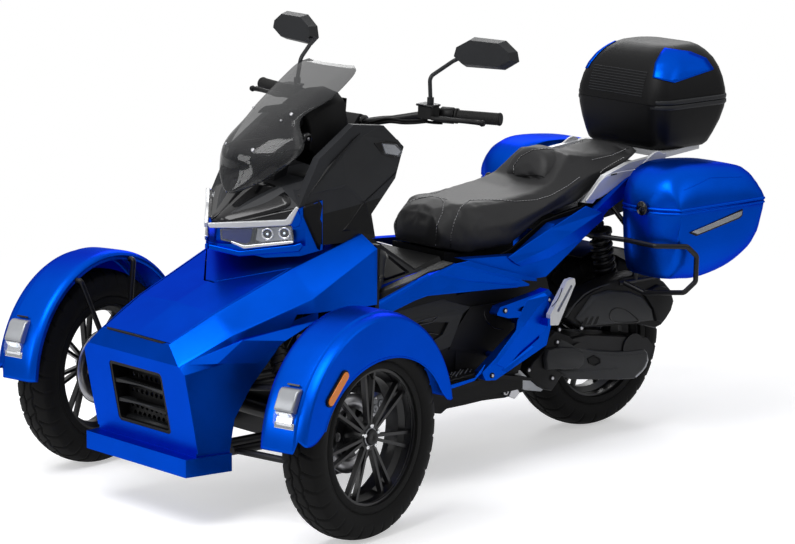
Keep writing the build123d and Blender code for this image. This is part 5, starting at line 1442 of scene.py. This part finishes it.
belt_shells = stacks(BELT, (
    ("belt_main", [(559.5, 339), (571.5, 346), (590, 349.5), (616, 351), (632, 350), (643, 348.5), (647, 353),
                   (647.5, 360), (645, 366), (642, 370), (637, 374), (634, 378.5), (618, 379.6), (603, 379.5),
                   (571.5, 379.5), (557.5, 371), (551, 358)],
     [(-40, .97), (-6, 1), (3, .985), (7, .95), (8.5, .90)], "charcoal"),
    ("belt_nose", [(543, 369), (542, 358), (543.5, 349), (557, 346.5), (571.5, 347), (578, 351), (581, 357),
                   (580, 363.5), (576, 367.5), (562, 368.5)], [(4, 1), (14, .985), (18, .95), (19.5, .88)],
     "charcoal"),
    ("belt_boss", [(585, 358), (592, 354.5), (598, 357.5), (599, 362.5), (592.5, 366), (586.5, 363)],
     [(6, 1.0), (11.5, .96), (12, .80), (9, .72)], "black"),
    ("crank_cover", [(527, 372), (533, 362), (543, 352), (549, 338), (556, 331), (570, 336), (579, 345),
     (560, 379), (552, 391), (545, 390), (533, 382)], [(-60, .96), (-6, 1), (-1, .98), (1, .94)], "black")))
belt_edges = panels(BELT, (
    ("belt_ridge", [(557, 369.5), (614, 366.8), (616, 368.2), (560, 372.2)], [8, 8, 12, 12], [range(4)],
     "charcoal"),
    ("belt_edge", [(572, 347.4), (616, 352), (643, 350), (644, 353), (616, 355.5), (580, 352)],
     [5, 6, 5, 10, 10, 10], [(0, 1, 4, 5), (1, 2, 3, 4)], "charcoal"),
    ("belt_rim", [(643, 348.6), (647, 352.5), (648.4, 360), (646, 367), (642.6, 371.4), (636, 377.6),
     (634, 376), (641, 369.4), (644, 364.5), (645.4, 359), (644.4, 353.4)], [1, 1, 1, 1, 1, 1, 6, 7, 7, 7, 7],
     [(0, 1, 10), (1, 2, 9, 10), (2, 3, 8, 9), (3, 4, 7, 8), (4, 5, 6, 7)], "alloy")))
duct = pipe("duct", [at_side(s, 0.17) for s in ((618, 352), (621, 344), (629, 338), (637, 339), (641, 346),
    (642, 354))], 0.011, "black")
bolts = [bolt("bolt", at_side(s, BELT + up), 0.0095) for s, up in (
    ((557, 342), .002), ((552, 378), .001), ((528.5, 370), -.001), ((559, 329.5), -.004), ((581, 328), .018))]
place(joined("belt_case", [*belt_shells[:3], *belt_edges, duct, belt_shells[3], *bolts]), "chassis")
low, high = P(-1455, 118, 365), P(-1385, 118, 660)
both_sides(joined("rear_springs", [
    coil("coil", low.lerp(high, 0.22), low.lerp(high, 0.9), 0.031, 0.0062, 9, "frame"),
    *(put(spun("collar", [(-wide / 2, 0.040), (wide / 2, 0.040)], "dark_alloy", 40), low.lerp(high, t),
          towards(high - low)) for t, wide in ((0.20, 0.010), (0.91, 0.012)))]))


# Handlebar details, in the unturned bar's frame


def bar_side(sign):
    def bar_at(share, ahead=0.0, up=0.0):
        return P(-565 - 62 * share + ahead, sign * (230 + 210 * share), 1092 + 2 * share + up)

    def along_bar(obj, share):
        return put(obj, bar_at(share), towards((bar_at(1) - bar_at(0)).normalized()))

    ribs = [(-0.068, 0.0172)]
    for i in range(22):
        y = -0.066 + i * 0.006
        ribs += [(y, 0.0172), (y + 0.001, 0.0182), (y + 0.0036, 0.0182), (y + 0.0046, 0.0172)]
    ribs += [(0.066, 0.0172), (0.066, 0.0192), (0.0695, 0.0192), (0.0695, 0.0165), (-0.068, 0.0165)]
    parts = [along_bar(lathe("ribs", ribs, "grip", 40), 0.69),
             along_bar(lathe("flange", [(-0.003, 0.015), (-0.003, 0.0225), (0.003, 0.0225), (0.003, 0.015)],
                 "grip", 40), 0.40),
             along_bar(spun("switch", [(-0.021, 0.021), (-0.018, 0.0245), (0.018, 0.0245), (0.021, 0.021)],
                 "black", 8), 0.275)]
    for up, ahead, color in ((0.012, -0.022, "silver"), (-0.006, -0.025, "red" if sign < 0 else "charcoal")):
        parts.append(put(spun("button", [(-0.005, 0.006), (0.005, 0.006)], color, 16),
                         bar_at(0.27) + Vector((ahead, 0, up))))
    parts.append(plate("lid", [(0.014, -0.024), (0.060, -0.024), (0.060, 0.034), (0.014, 0.034)],
        (0.029, 0.036), "gloss", lambda u, v, w: bar_at(0.08) + Vector((u, sign * v, w)), 0.003))
    for v in (-0.017, 0.027):
        parts.append(put(spun("screw", [(0, 0.0035), (0.001, 0.003)], "steel", 16),
                         bar_at(0.08) + Vector((0.037, sign * v, 0.036)), Matrix.Rotation(pi / 2, 4, "X")))
    lever = [bar_at(0.10, 34), bar_at(0.22, 52, -1), bar_at(0.5, 62, -3), bar_at(0.8, 56, -5),
        bar_at(0.93, 62, -6)]
    tip = lathe("tip", [(-0.009, AXIS), (-0.007, 0.007), (0, 0.0095), (0.007, 0.007), (0.009, AXIS)], "black",
        24)
    parts += [pipe("lever", lever, 0.0068, "black", resolution=4), put(tip, lever[-1])]
    for k in (0, 1):
        hose = [bar_at(0.12, 46, -8 - 8 * k), bar_at(-0.05, 78, -16 - 6 * k),
            P(-478, sign * 150, 1080 - 10 * k),
                P(-488, sign * 96, 1062 - 8 * k), P(-486, sign * 48, 1046)]
        parts.append(pipe("hose", hose, 0.0038, "rubber", resolution=3))
    loom = [bar_at(0.2, 0, -24), bar_at(0.05, 6, -26), P(-540, sign * 170, 1078), P(-512, sign * 96, 1072),
            P(-500, sign * 52, 1060)]
    return parts + [pipe("loom", loom, 0.0045, "rubber", resolution=3)]


clamps = [put(spun("clamp", [(-0.011, 0.020), (0.011, 0.020)], "gloss", 24), P(-496, s * 40, 1054))
    for s in (-1, 1)]
bar_details = joined("bar_details", bar_side(1) + bar_side(-1) + clamps)
bar_details.data.transform(BAR_TURN)
place(bar_details, "steering")


# The CAD's own pieces: finish and softened edges


CAD_FINISH = {
    "frame": "frame suspension_arms handlebar", "steel": "tie_rods", "cowl": "front_cowl", "red": "tail_lamp",
    "dark_alloy": "shocks engine drive_case knuckle_left knuckle_right",
    "black": "front_trunk nose_grille leg_shield floorboards tail_unit seat_bucket rear_mudguard",
    "blue": "headlamp_housing side_beams side_braces tail_panels", "silver": "rear_rack peg_left peg_right",
    "exhaust": "exhaust", "grip": "hand_controls", "charcoal": "mirrors",
    "rim": "front_rim_left front_rim_right rear_rim",
}
for mat, names in CAD_FINISH.items():
    for name in names.split():
        NODES[name].data.materials.clear()
        NODES[name].data.materials.append(M[mat])
        rounded(NODES[name], 0.0025, 28, harden_normals=True)
